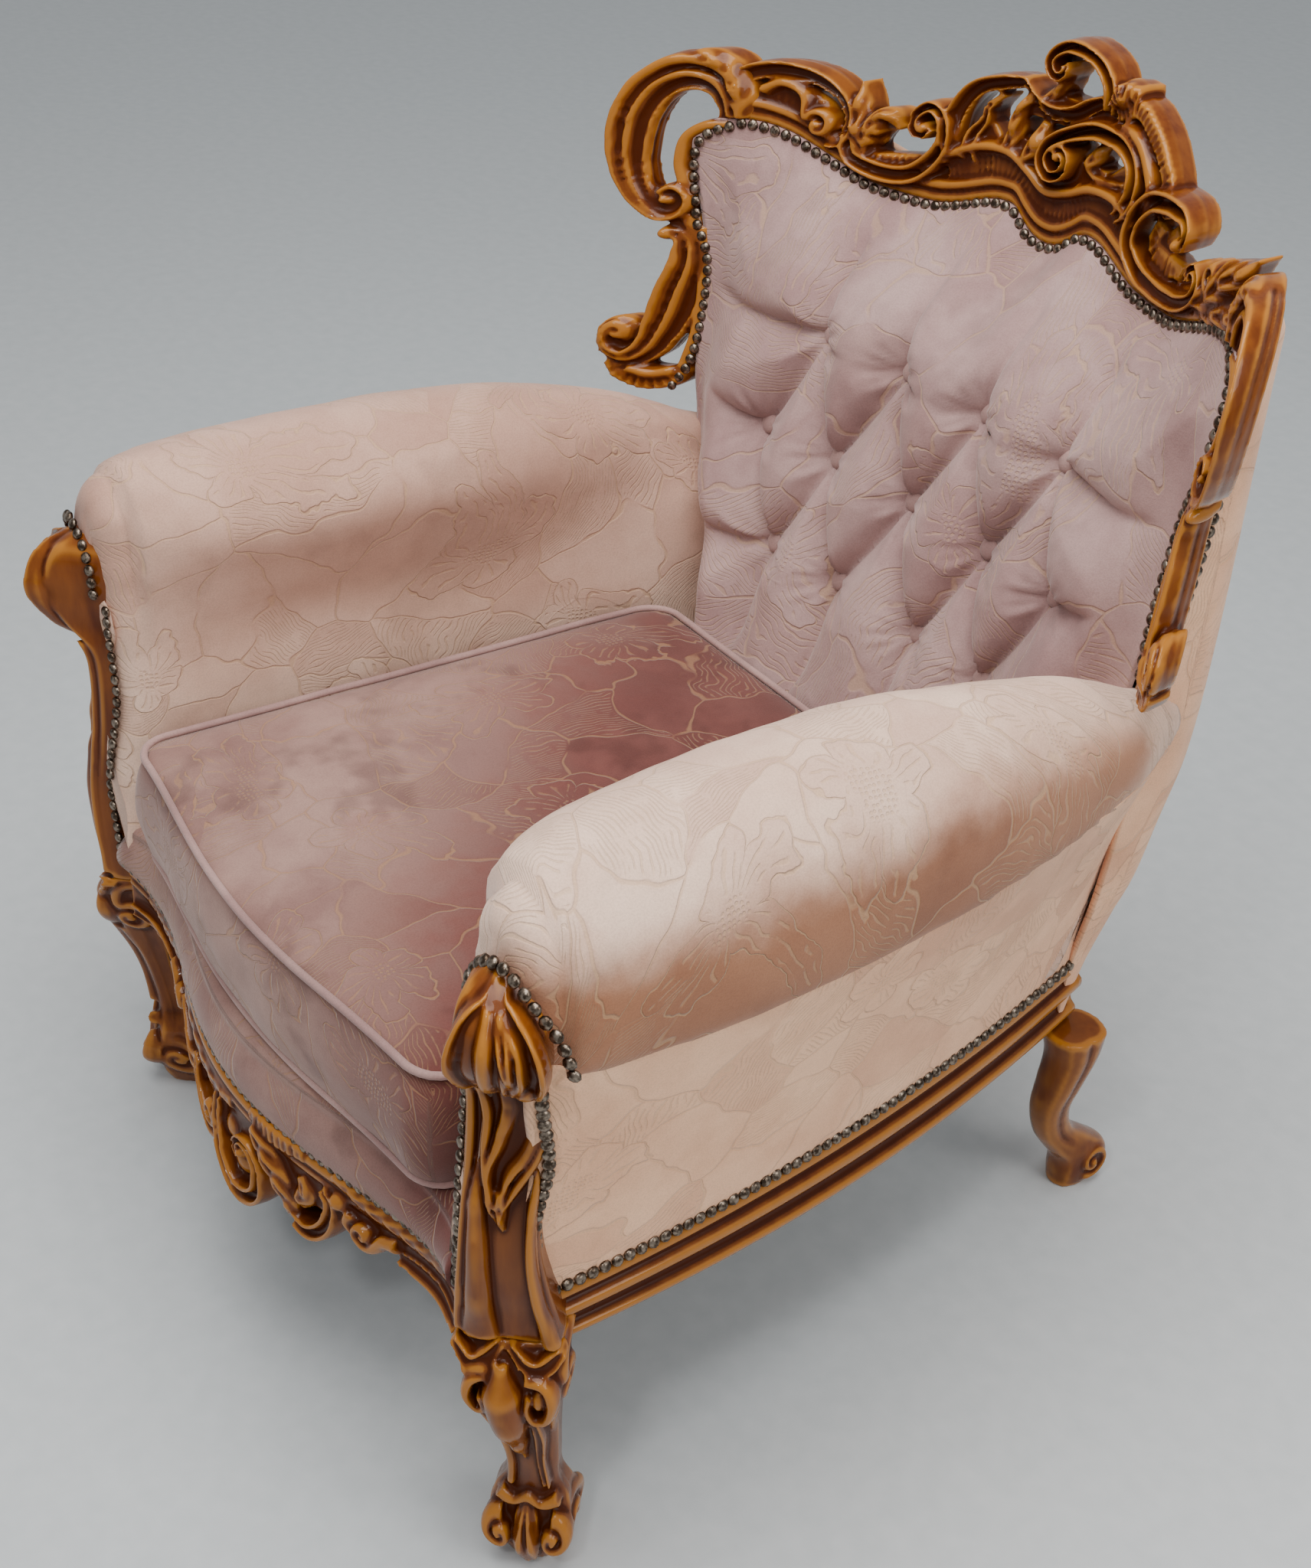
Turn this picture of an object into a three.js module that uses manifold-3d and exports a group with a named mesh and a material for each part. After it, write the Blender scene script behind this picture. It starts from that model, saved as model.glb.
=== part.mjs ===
// Upholstered armchair with a carved beech show-wood frame, a deep-buttoned back,
// rolled arms and a loose seat cushion. Millimetres, +Z up, the front faces -Y.
// The origin is on the floor, under the centre of the chair's bounding box.
import * as THREE from 'three';
import { mergeVertices } from 'three/addons/utils/BufferGeometryUtils.js';
import Module from 'manifold-3d';

const wasm = await Module();
wasm.setup();

// Driving dimensions
const GAP = 0.3; // between touching pieces
const CORNER = { x: 372, y: -425 }; // reference line of each canted front corner
const BACK = { y: 393, z: 923, lean: 0.16, radius: 540 }; // show-wood front face of the back
const CREST_THICK = 40;
const CREST_FACET = 42;
const SEAT_RAIL_TOP = 320;
const RAIL_THICK = 34;
const FRONT_HALF = 333;
const CUSHION = { bottom: 362, top: 492, crown: 8, halfFront: 300, halfBack: 262, back: 160 };
const DECK = { bottom: 326, top: 361.5 };
const BACK_POST = { width: 38, depth: 32 };
const TUFT = { pitchX: 113, pitchZ: 105, lowZ: 582, depth: 38, mouth: 38, seat: 14 };
const SPRING = { count: 5, pitch: 98, wire: 3.6, z: 322.5, turns: 9, halfWidth: 24 };

// Finishes
const WOOD = { color: 0x9a5a22, roughness: 0.3, metalness: 0 };
const HIDDEN_WOOD = { color: 0xb99a6b, roughness: 0.8, metalness: 0 };
const VELOUR = { color: 0xb58f8a, roughness: 0.95, metalness: 0 };
const LINING = { color: 0x3c3a38, roughness: 0.95, metalness: 0 };
const WEBBING = { color: 0x6d5a44, roughness: 0.9, metalness: 0 };
const SPRING_STEEL = { color: 0x777777, roughness: 0.45, metalness: 1 };

const chair = new THREE.Group();

// Shared helpers

function add(name, geometry, finish) {
  const mesh = new THREE.Mesh(geometry, new THREE.MeshStandardMaterial(finish));
  mesh.name = name;
  chair.add(mesh);
}

function lerp(a, b, t) {
  return a + (b - a) * t;
}

// Linear interpolation in rows whose first entry is the station.
function station(rows, at) {
  let i = 1;
  while (i < rows.length - 1 && rows[i][0] < at) i++;
  const [lo, hi] = [rows[i - 1], rows[i]];
  const t = Math.min(1, Math.max(0, (at - lo[0]) / (hi[0] - lo[0])));
  return lo.map((value, k) => lerp(value, hi[k], t));
}

// Moves every vertex of a closed geometry; move(x, y, z) returns the new place.
function warp(geometry, move) {
  const bare = new THREE.BufferGeometry();
  bare.setAttribute('position', geometry.attributes.position.clone());
  if (geometry.index) bare.setIndex(geometry.index.clone());
  const merged = mergeVertices(bare, 1e-4);
  const p = merged.attributes.position;
  for (let i = 0; i < p.count; i++) p.setXYZ(i, ...move(p.getX(i), p.getY(i), p.getZ(i)));
  return merged;
}

// A unit block, 0 to 1 each way, with the given divisions, then warped.
function block(divisions, move) {
  return warp(new THREE.BoxGeometry(1, 1, 1, ...divisions).translate(0.5, 0.5, 0.5), move);
}

// An outline in (x, z), extruded 0 to 1 along y, cut into facets no longer than asked, then warped.
function plate(outline, holes, facet, move) {
  const shape = new THREE.Shape(outline.map(([x, z]) => new THREE.Vector2(x, z)));
  for (const hole of holes) shape.holes.push(new THREE.Path(hole.map(([x, z]) => new THREE.Vector2(x, z))));
  const flat = new THREE.ExtrudeGeometry(shape, { depth: 1, bevelEnabled: false });
  return warp(bare(solid(flat).refineToLength(facet)), (x, z, depth) => move(x, 1 - depth, z));
}

function flipX(geometry) {
  const flipped = warp(geometry, (x, y, z) => [-x, y, z]);
  const index = flipped.index.array;
  for (let i = 0; i < index.length; i += 3) [index[i], index[i + 1]] = [index[i + 1], index[i]];
  return flipped;
}

function solid(geometry) {
  const shell = warp(geometry, (x, y, z) => [x, y, z]);
  return new wasm.Manifold(new wasm.Mesh({
    numProp: 3,
    vertProperties: new Float32Array(shell.attributes.position.array),
    triVerts: new Uint32Array(shell.index.array),
  }));
}

function bare(body) {
  const out = body.getMesh();
  const result = new THREE.BufferGeometry();
  result.setAttribute('position', new THREE.BufferAttribute(new Float32Array(out.vertProperties), 3));
  result.setIndex(new THREE.BufferAttribute(new Uint32Array(out.triVerts), 1));
  return result;
}

// The largest body left after the cutters are taken out of a piece.
function cut(geometry, cutters) {
  let body = solid(geometry);
  for (const cutter of cutters) body = body.subtract(solid(cutter));
  return bare(body.decompose().sort((a, b) => b.volume() - a.volume())[0]);
}

// The left piece (the sitter's left, +X) and its mirror image.
function pair(name, geometry, finish) {
  add(`${name}_left`, geometry, finish);
  add(`${name}_right`, flipX(geometry), finish);
}

// Form of the chair: curves that several pieces share

// Front of the seat in plan: a bow between two hollows that flare to the corners.
function frontY(x) {
  const u = Math.min(1.2, (x / FRONT_HALF) ** 2);
  return -430 - 35.7 * (1 - u) + 106.1 * (1 - u) * u;
}

function frontRailTop(x) {
  const u = Math.min(1, (x / FRONT_HALF) ** 2);
  return 318 - 21.3 * (1 - u) - 50.9 * (1 - u) * u;
}

// Outer face of the side rail in plan.
function sideX(y) {
  return 389 - 0.000225 * (y + 390) ** 2;
}

// Show-wood face of the back, and the outer cover behind it.
function backFaceY(x, z) {
  return BACK.y + BACK.lean * (z - BACK.z) - (BACK.radius - Math.sqrt(BACK.radius ** 2 - x * x));
}

const REAR_PROFILE = [[250, 330], [317, 357], [364, 378], [425, 405], [489, 421], [551, 435],
  [677, 443], [826, 446], [925, 452], [990, 459]];

function rearY(x, z) {
  return station(REAR_PROFILE, z)[1] - (x * x) / 1320;
}

// Rolled arm: inner and outer limits and crown height along its length.
const ARM = [
  // y, inner x of the roll, outer x, crown z, inner wall x, underside z
  [-402, 332, 428, 716, 322, 578],
  [-380, 306, 440, 729, 319, 572],
  [-320, 286, 446, 738, 319, 566],
  [-200, 272, 447, 742, 317, 562],
  [-60, 272, 437, 738, 310, 562],
  [48, 279, 422, 722, 296, 566],
  [150, 288, 400, 694, 279, 574],
  [200, 294, 387, 674, 272, 580],
  [230, 300, 376, 660, 268, 584],
  [262, 306, 361, 648, 265, 590],
  [290, 314, 342, 632, 264, 600],
];
const ARM_WALL = 18;
const PANEL_THICK = 9;
const PANEL_REAR = 244;

function panelX(y, z) {
  const top = station(ARM, y)[2] - 16;
  const t = (z - SEAT_RAIL_TOP) / 245;
  return lerp(sideX(y) - 2, top, t * t * 0.7 + t * 0.3);
}

// Across the canted corner: s runs along the face, out stands proud of it.
function corner(s, out, z) {
  const r = Math.SQRT1_2;
  return [CORNER.x + (s + out) * r, CORNER.y + (s - out) * r, z];
}

// A canted, carved upright lofted through rows of [z, s left, s right, out back, out front].
function upright(rows, steps, grow) {
  const z0 = rows[0][0];
  const z1 = rows[rows.length - 1][0];
  return block([3, 3, steps], (a, b, c) => {
    const z = lerp(z0, z1, c);
    const [, left, right, back, front] = station(rows, z);
    const [u, v] = [2 * a - 1, 2 * b - 1];
    const round = Math.sqrt(1 - 0.36 * Math.min(u * u, 1) * v * v);
    const s = (left + right) / 2 + u * round * ((right - left) / 2 + grow);
    const out = (front + back) / 2 - v * round * ((front - back) / 2 + grow);
    return corner(s, out, z + grow * (2 * c - 1));
  });
}

// Front corners: cabriole legs and the carved arm posts that stand on them

const FRONT_LEG = [[0, 8, 52, -66, -18], [18, 0, 60, -74, -13], [45, -6, 64, -72, -12],
  [75, -4, 62, -56, -14], [100, 7, 54, -48, -13], [130, 7, 54, -43, -9], [165, 2, 55, -40, -3],
  [200, -6, 57, -41, 6], [235, -16, 61, -44, 13], [262, -20, 63, -48, 13], [290, -26, 61, -50, 5]];
const ARM_POST = [[290.3, -27, 61, -50, 4], [318, -26, 55, -50, 5], [347, -24, 44, -50, 8],
  [390, -20, 27, -50, 9], [431, -17, 27, -50, -3], [471, -12, 36, -50, -21], [530, -10, 32, -50, -23],
  [552, -9, 44, -50, -12], [575, -11, 54, -50, 24], [600, -12, 57, -50, 39], [628, -9, 46, -50, 40],
  [650, -2, 36, -44, 30], [664, 8, 26, -30, 12]];

const LOFT_STEPS = 13;
const frontLeg = upright(FRONT_LEG, LOFT_STEPS, 0);
const armPost = upright(ARM_POST, LOFT_STEPS, 0);
const cornerCutters = [upright(FRONT_LEG, LOFT_STEPS, GAP), upright(ARM_POST, LOFT_STEPS, GAP)];
pair('front_leg', frontLeg, WOOD);
pair('arm_post', armPost, WOOD);

// Rear legs: plain cabriole legs that kick back to a scroll foot

const REAR_LEG = [
  // z, centre x, centre y, half width x, half width y
  [0, 273, 334, 17, 22], [16, 274, 340, 21, 30], [42, 276, 338, 22, 32], [64, 277, 318, 19, 28],
  [90, 278, 294, 17, 21], [130, 283, 279, 18, 19], [170, 291, 278, 21, 21], [210, 297, 281, 24, 25],
  [241.7, 297, 279, 28, 31],
];

function rearLeg() {
  return block([3, 3, 11], (a, b, c) => {
    const [z, x, y, halfX, halfY] = station(REAR_LEG, lerp(0, 241.7, c));
    const [u, v] = [2 * a - 1, 2 * b - 1];
    const round = Math.sqrt(1 - 0.4 * u * u * v * v);
    return [x + u * halfX * round, y + v * halfY * round, z];
  });
}

pair('rear_leg', rearLeg(), WOOD);

// Seat frame: shaped front rail, bowed side rails, rear rail and corner blocks

// Lower edge of the front rail: plain shoulders and a scrolled, off-centre cartouche.
const APRON_EDGE = [[-372, 262], [-330, 256], [-300, 256], [-266, 252], [-236, 246], [-219, 250],
  [-196, 232], [-170, 244], [-150, 226], [-128, 218], [-104, 226], [-84, 204], [-62, 192],
  [-40, 196], [-24, 206], [-10, 181], [12, 171], [38, 178], [56, 192], [70, 212], [80, 206],
  [98, 193], [118, 197], [138, 206], [152, 226], [164, 247], [172, 236], [188, 231], [206, 238],
  [219, 253], [236, 246], [266, 252], [300, 256], [330, 256], [372, 262]];
const APRON_HOLE = [[112, 281], [124, 268], [136, 270], [141, 285], [128, 286]];

function frontRail() {
  const last = APRON_EDGE.length - 1;
  const rail = block([last, 1, 1], (a, b, c) => {
    const [x, low] = APRON_EDGE[Math.round(a * last)];
    const proud = 6 * Math.max(0, 1 - (x / 300) ** 2);
    const z = lerp(low, frontRailTop(x) - GAP, c);
    return [x, lerp(frontY(x) - proud, frontY(x) + RAIL_THICK, b), z];
  });
  const hole = plate(APRON_HOLE, [], CREST_FACET, (x, y, z) => [x, lerp(-500, -400, y), z]);
  return cut(rail, [hole]);
}

function sideRail() {
  const rear = 286;
  return block([1, 16, 2], (a, b, c) => {
    const y = lerp(-420, rear, b);
    const low = 258 - 16 * Math.sin(Math.PI * Math.min(1, (y + 390) / 500) / 2);
    const foot = c === 0 ? 9 : 0;
    return [sideX(y) - (1 - a) * RAIL_THICK - a * foot, y, lerp(low, SEAT_RAIL_TOP - GAP, c)];
  });
}

const rearRailY = (x) => rearY(x, 290) - 12;

function rearRail() {
  return block([12, 1, 1], (a, b, c) => {
    const x = lerp(-250, 250, a);
    return [x, rearRailY(x) - (1 - b) * 28, lerp(250, SEAT_RAIL_TOP - GAP, c)];
  });
}

// Room for the canted corner: everything past one edge of the leg, as far as the next.
function cornerRoom(s0, s1) {
  return block([1, 1, 1], (a, b, c) => corner(lerp(s0, s1, a), lerp(160, -200, b), lerp(120, 420, c)));
}

const frontRoom = cornerRoom(-28, 200);
const frontRailSolid = cut(frontRail(), [frontRoom, flipX(frontRoom)]);
const sideRailSolid = cut(sideRail(), [cornerRoom(-200, 63.5)]);
add('front_rail', frontRailSolid, WOOD);
pair('side_rail', sideRailSolid, WOOD);
add('rear_rail', rearRail(), HIDDEN_WOOD);

// Glued blocks behind each front post, mitred against the two rails they brace.
function frontBlock() {
  return cut(block([1, 1, 1], (a, b, c) => corner(lerp(-30, 64, a), lerp(-50.6, -84, b), lerp(262, 312, c))),
    [block([12, 1, 1], (a, b, c) => {
      const x = lerp(200, 372, a);
      return [x, lerp(-520, frontY(x) + RAIL_THICK + GAP, b), lerp(230, 330, c)];
    }), block([1, 12, 1], (a, b, c) => {
      const y = lerp(-440, -200, b);
      return [lerp(sideX(y) - RAIL_THICK - GAP, 470, a), y, lerp(230, 330, c)];
    })]);
}

function rearBlock() {
  const outline = [[0, 0], [58, 0], [0, -58]];
  const shape = new THREE.Shape(outline.map(([x, y]) => new THREE.Vector2(-x, y)));
  return new THREE.ExtrudeGeometry(shape, { depth: 50, bevelEnabled: false }).translate(265, 226, 262);
}

pair('front_corner_block', frontBlock(), HIDDEN_WOOD);
pair('rear_corner_block', rearBlock(), HIDDEN_WOOD);

// Back frame: hidden uprights, lower tacking rail, and the carved show-wood

const POST_PROFILE = [[320.3, 262, 264], [420, 280, 288], [551, 296, 314], [677, 300, 330],
  [826, 298, 340], [894, 296, 341]];

function backPost(grow) {
  return block([1, 1, 10], (a, b, c) => {
    const [z, x, y] = station(POST_PROFILE, lerp(320.3, 894, c));
    const halfX = BACK_POST.width / 2 + grow;
    const halfY = BACK_POST.depth / 2 + grow;
    return [x + (2 * a - 1) * halfX, y + (2 * b - 1) * halfY, z + grow * (2 * c - 1)];
  });
}

function lowerBackRail() {
  return block([8, 1, 1], (a, b, c) => {
    const x = lerp(-258, 258, a);
    return [x, 292 + 42 * (1 - (x / 287) ** 2) + (b - 0.5) * 24, lerp(432, 478, c)];
  });
}

// Carved outlines are drawn as seen from the front, then laid on the back's curve.
function carved(outline, holes) {
  return plate(outline, holes, CREST_FACET, (x, y, z) => [x, backFaceY(x, z) + y * CREST_THICK, z]);
}

// Side scroll frame: the lower C-scroll, the upper open C-scroll and its pierced eye.
const SCROLL_EDGE = [[356, 677], [376, 678], [394, 690], [408, 708], [414, 732], [406, 760], [392, 765],
  [384, 766], [377, 786], [376, 806], [380, 824], [378, 842], [392, 854], [409, 876], [420, 902],
  [425, 936], [423, 972], [413, 998], [397, 1020], [379, 1027], [352, 1021], [338, 1008], [331, 990],
  [328, 957], [342, 950], [354, 943], [360, 928], [357, 898], [349, 856], [341, 838], [334, 810],
  [332, 755], [337, 708], [346, 688]];
const SCROLL_EYE = [[360, 965], [373, 961], [386, 949], [392, 930], [394, 912], [390, 900], [380, 895],
  [377, 917], [375, 936], [366, 954]];

function scrollFrame() {
  return carved(SCROLL_EDGE, [SCROLL_EYE]);
}

// Crest: shaped lower edge along the nail line, scrolled and pierced upper edge.
const CREST_LOW = [[-326, 960], [-314, 962], [-288, 958], [-256, 945], [-226, 933], [-198, 925], [-166, 926],
  [-136, 924], [-104, 932], [-72, 943], [-44, 943], [-22, 927], [0, 922], [22, 927], [44, 943],
  [72, 943], [104, 932], [136, 924], [166, 926], [198, 925], [226, 933], [256, 945], [288, 958],
  [314, 962], [326, 960]];
const CREST_TOP = [[326, 1008], [312, 1016], [294, 1016], [268, 1008], [250, 992], [240, 976], [222, 972],
  [212, 986], [204, 1004], [190, 1011], [168, 1011], [158, 1014], [148, 1030], [126, 1046], [100, 1062],
  [72, 1080], [50, 1070], [30, 1080], [10, 1094], [-16, 1098], [-34, 1088], [-38, 1072], [-24, 1056],
  [-44, 1052], [-62, 1056], [-82, 1050], [-108, 1042], [-126, 1024], [-134, 1000], [-122, 984], [-134, 976],
  [-144, 990], [-152, 1006], [-170, 992], [-182, 980], [-198, 976], [-208, 1000], [-226, 1008], [-240, 1004],
  [-250, 992], [-268, 1008], [-294, 1016], [-312, 1016], [-326, 1008]];
const CREST_EYES = [
  [[58, 1016], [64, 1006], [84, 1003], [92, 1010], [84, 1021], [66, 1026]],
  [[-91, 1004], [-79, 1006], [-71, 1018], [-75, 1027], [-88, 1019]],
  [[-1, 1070], [-14, 1060], [-11, 1048], [0, 1052], [6, 1064]],
];

function crestRail() {
  return carved([...CREST_LOW, ...CREST_TOP], CREST_EYES);
}

pair('back_post', backPost(0), HIDDEN_WOOD);
add('lower_back_rail', lowerBackRail(), HIDDEN_WOOD);
pair('back_scroll_frame', scrollFrame(), WOOD);
add('crest_rail', crestRail(), WOOD);

// Arm frames: top rail under the roll, and the tacking rail beside the seat

function alongArm(y0, y1, z0, z1, inset, thick) {
  return block([1, 12, 1], (a, b, c) => {
    const y = lerp(y0, y1, b);
    const z = lerp(z0, z1, c);
    return [panelX(y, z) - PANEL_THICK - inset - (1 - a) * thick, y, z];
  });
}

pair('arm_rail', cut(alongArm(-372, 244, 528, 558, 3, 34), cornerCutters), HIDDEN_WOOD);
pair('arm_tacking_rail', cut(alongArm(-352, 205, 372, 402, 2, 12), cornerCutters), HIDDEN_WOOD);

// Springing: zigzag wires between the front and rear rails, webbing up the back

function zigzagSpring(x) {
  const points = [];
  const [y0, y1] = [frontY(x) + 14, rearRailY(x) - 10];
  for (let i = 0; i <= SPRING.turns; i++) {
    const side = i % 2 ? 1 : -1;
    const half = i === 0 || i === SPRING.turns ? 0.2 : 1;
    points.push(new THREE.Vector3(x + side * SPRING.halfWidth * half, lerp(y0, y1, i / SPRING.turns), SPRING.z));
  }
  const ring = new THREE.Shape();
  ring.absarc(0, 0, SPRING.wire / 2, 0, Math.PI * 2);
  return new THREE.ExtrudeGeometry(ring, {
    extrudePath: new THREE.CatmullRomCurve3(points, false, 'centripetal'),
    steps: SPRING.turns * 3,
    curveSegments: 3,
    bevelEnabled: false,
  });
}

for (let i = 0; i < SPRING.count; i++) {
  add(`seat_spring_${i + 1}`, zigzagSpring((i - (SPRING.count - 1) / 2) * SPRING.pitch), SPRING_STEEL);
}

const BACK_WEB = { width: 50, thick: 2, pitch: 150, bottom: 479, top: 912 };

function padRearY(x, z) {
  return backFaceY(x, z) - 1.5;
}

function backWeb(x) {
  return block([2, 1, 8], (a, b, c) => {
    const z = lerp(BACK_WEB.bottom, BACK_WEB.top, c);
    const px = x + (a - 0.5) * BACK_WEB.width;
    return [px, padRearY(px, z) + GAP + b * BACK_WEB.thick, z];
  });
}

for (let i = 0; i < 3; i++) add(`back_web_${i + 1}`, backWeb((i - 1) * BACK_WEB.pitch), WEBBING);

// Seat: sprung deck with its rolled front lip, loose boxed cushion, dust cover below

function seatHalf(y) {
  return lerp(CUSHION.halfFront, CUSHION.halfBack, (y + 420) / (CUSHION.back + 420));
}

function seatFront(x, inset) {
  return frontY(x * 0.98) * 0.55 - 201 + inset;
}

function seatDeck() {
  return block([8, 4, 1], (a, b, c) => {
    const x0 = lerp(-1, 1, a);
    const front = frontY(x0 * 296) + 3;
    const y = lerp(front, 236, b);
    const half = Math.min(306, sideX(y) - 66);
    return [x0 * half, y, lerp(DECK.bottom, DECK.top, c)];
  });
}

function cushionTop(x, y) {
  return CUSHION.top + CUSHION.crown * Math.max(0, 1 - (x / 300) ** 2) * Math.max(0, 1 - ((y + 135) / 300) ** 2);
}

function seatCushion() {
  return block([8, 8, 2], (a, b, c) => {
    const x0 = lerp(-1, 1, a);
    const y = lerp(seatFront(x0 * 285, 0), CUSHION.back, b);
    const belly = 1 + 0.012 * Math.sin(Math.PI * c);
    const x = x0 * (seatHalf(y) - 4) * belly;
    return [x, y, lerp(CUSHION.bottom, cushionTop(x, y), c)];
  });
}

function dustCover() {
  return block([8, 4, 1], (a, b, c) => {
    const x0 = lerp(-1, 1, a);
    const y = lerp(frontY(x0 * 300) + RAIL_THICK + 16, 240, b);
    const half = Math.min(306, sideX(y) - 62);
    return [x0 * half, y, lerp(257.5, 259, c)];
  });
}

add('seat_deck', seatDeck(), VELOUR);
add('seat_cushion', seatCushion(), VELOUR);

// Arms: padded inner wall and roll in one cover, flat-padded panel outside

const ROLL_STEPS = 14;

// Section from the foot of the inner wall, over the roll, to its underside.
function armSection(row, low) {
  const [, inner, outer, crown, wall, under] = row;
  const cx = (inner + outer) / 2;
  const cz = (crown + under) / 2;
  const [rx, rz] = [(outer - inner) / 2, (crown - under) / 2];
  const points = [[wall, low]];
  const from = Math.PI * 1.12;
  const to = -Math.PI * 0.5;
  for (let i = 0; i <= ROLL_STEPS; i++) {
    const t = lerp(from, to, i / ROLL_STEPS);
    points.push([cx + rx * Math.cos(t), cz + rz * Math.sin(t)]);
  }
  points.push([wall + ARM_WALL, under], [wall + ARM_WALL, low]);
  return points;
}

function armPad() {
  const rows = ARM.slice().reverse();
  const count = ROLL_STEPS + 4;
  const unit = [];
  for (let i = 0; i < count; i++) {
    const t = (-2 * Math.PI * i) / count;
    unit.push(new THREE.Vector2(Math.cos(t), Math.sin(t)));
  }
  const steps = rows.length - 1;
  const tube = new THREE.ExtrudeGeometry(new THREE.Shape(unit), { depth: steps, steps, bevelEnabled: false });
  return warp(tube, (x, y, depth) => {
    const row = rows[Math.round(depth)];
    const index = Math.round((Math.atan2(-y, x) / (2 * Math.PI)) * count + count) % count;
    const [px, pz] = armSection(row, DECK.top + 2)[index];
    return [px, row[0], pz];
  });
}

function outsidePanel() {
  return block([1, 14, 6], (a, b, c) => {
    const y = lerp(-372, PANEL_REAR, b);
    const under = station(ARM, y)[5] - 4;
    const z = lerp(SEAT_RAIL_TOP + GAP, Math.min(under, 572), c);
    return [panelX(y, z) - (1 - a) * PANEL_THICK, y, z];
  });
}

pair('arm_pad', cut(armPad(), [...cornerCutters, backPost(GAP)]), VELOUR);
pair('outside_arm_panel', cut(outsidePanel(), cornerCutters), VELOUR);

// Back upholstery: deep-buttoned pad in front, covered buttons, outer cover behind

const CREST_NAIL_LINE = [[0, 917], [22, 922], [44, 938], [72, 938], [104, 927], [136, 919],
  [198, 920], [226, 928], [256, 940], [288, 953], [318, 959], [345, 958]];
const PAD_SIDE = [[368, 250], [480, 256], [640, 260], [672, 262], [700, 322], [740, 333], [800, 334],
  [860, 335], [900, 338], [930, 340]];
const PAD_EDGE = 14;

function buttonY(x, z) {
  return 207 + 0.295 * (z - 490) - (x * x) / 3500;
}

function padFrontY(x, z, half, top) {
  const edge = padRearY(x, z) - PAD_EDGE;
  const full = Math.max(165, buttonY(x, z) - TUFT.depth);
  const down = Math.min(1, (top - z) / 110);
  const across = z > 690 ? Math.min(1, (half - Math.abs(x)) / 70) : 1;
  return Math.min(edge, lerp(edge, full, Math.max(0, down * across) ** 0.6));
}

function backPadBlock() {
  return block([12, 1, 13], (a, b, c) => {
    const x0 = lerp(-1, 1, a);
    const top = station(CREST_NAIL_LINE, Math.abs(x0) * 340)[1];
    const z = lerp(368, top, c);
    const half = station(PAD_SIDE, z)[1];
    const x = x0 * half;
    return [x, lerp(padFrontY(x, z, half, top), padRearY(x, z), b), z];
  });
}

// Four, five and four buttons in a diamond layout, from the top row down.
function buttonPlaces() {
  const places = [];
  for (const [row, offsets] of [[2, [-1.5, -0.5, 0.5, 1.5]], [1, [-1.9, -1, 0, 1, 1.9]], [0, [-1.42, -0.54, 0.54, 1.42]]]) {
    for (const k of offsets) {
      const [x, z] = [k * TUFT.pitchX, TUFT.lowZ + row * TUFT.pitchZ];
      places.push([x, buttonY(x, z), z]);
    }
  }
  return places;
}

function buttonWell([x, y, z]) {
  const well = new THREE.CylinderGeometry(TUFT.seat, TUFT.mouth, TUFT.depth + 30, 8);
  return warp(well, (px, py, pz) => [x + px, y + GAP + py - (TUFT.depth + 30) / 2, z + pz]);
}

function coveredButton() {
  const profile = [[0, 0], [11, 0], [11, 2.5], [7.5, 5.6], [0, 7]];
  return new THREE.LatheGeometry(profile.map(([r, h]) => new THREE.Vector2(r, h)), 10);
}

add('inside_back_pad', cut(backPadBlock(), buttonPlaces().map(buttonWell)), VELOUR);
buttonPlaces().forEach(([x, y, z], i) => {
  const place = new THREE.Matrix4().makeRotationX(Math.PI).setPosition(x, y, z);
  add(`back_button_${i + 1}`, coveredButton().applyMatrix4(place), VELOUR);
});

// The outer cover wraps from one side of the back, round the rear corners, to the other.
const REAR_CORNER_X = [[250, 288], [317, 294], [420, 316], [570, 336], [700, 342], [830, 346], [990, 336]];
const RETURN_FRONT_Y = [[520, PANEL_REAR + 2], [570, 296], [668, 296], [690, 290], [830, 312], [960, 333]];
const REAR_COVER_TOP = [[0, 946], [44, 962], [136, 948], [198, 948], [288, 976], [340, 980]];

function outsideBack() {
  const side = 0.1;
  return block([20, 1, 10], (a, b, c) => {
    const t = 2 * a - 1;
    const beyond = Math.max(0, (Math.abs(t) - (1 - 2 * side)) / (2 * side));
    const along = Math.min(1, Math.abs(t) / (1 - 2 * side));
    const top = station(REAR_COVER_TOP, along * 340)[1];
    const z = lerp(SEAT_RAIL_TOP + GAP, top, c);
    const cornerX = station(REAR_CORNER_X, z)[1];
    const inset = (1 - b) * PANEL_THICK;
    const sign = Math.sign(t);
    const frontX = z < 570 ? panelX(PANEL_REAR, z) : cornerX;
    const x = lerp(along * cornerX, frontX, beyond) - (along === 1 ? inset : 0);
    const rear = rearY(along * cornerX, z) - inset;
    return [sign * x, lerp(rear, station(RETURN_FRONT_Y, z)[1], beyond), z];
  });
}

add('outside_back', outsideBack(), VELOUR);
add('dust_cover', dustCover(), LINING);

export default chair;
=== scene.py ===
"""Old show-wood armchair: carved frame, deep-buttoned back, rolled arms, loose cushion.

Lengths in the sections below are millimetres in the chair's own frame (+Z up, the front
faces -Y, the origin on the floor under its centre); MM turns them into metres.
"""

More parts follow.
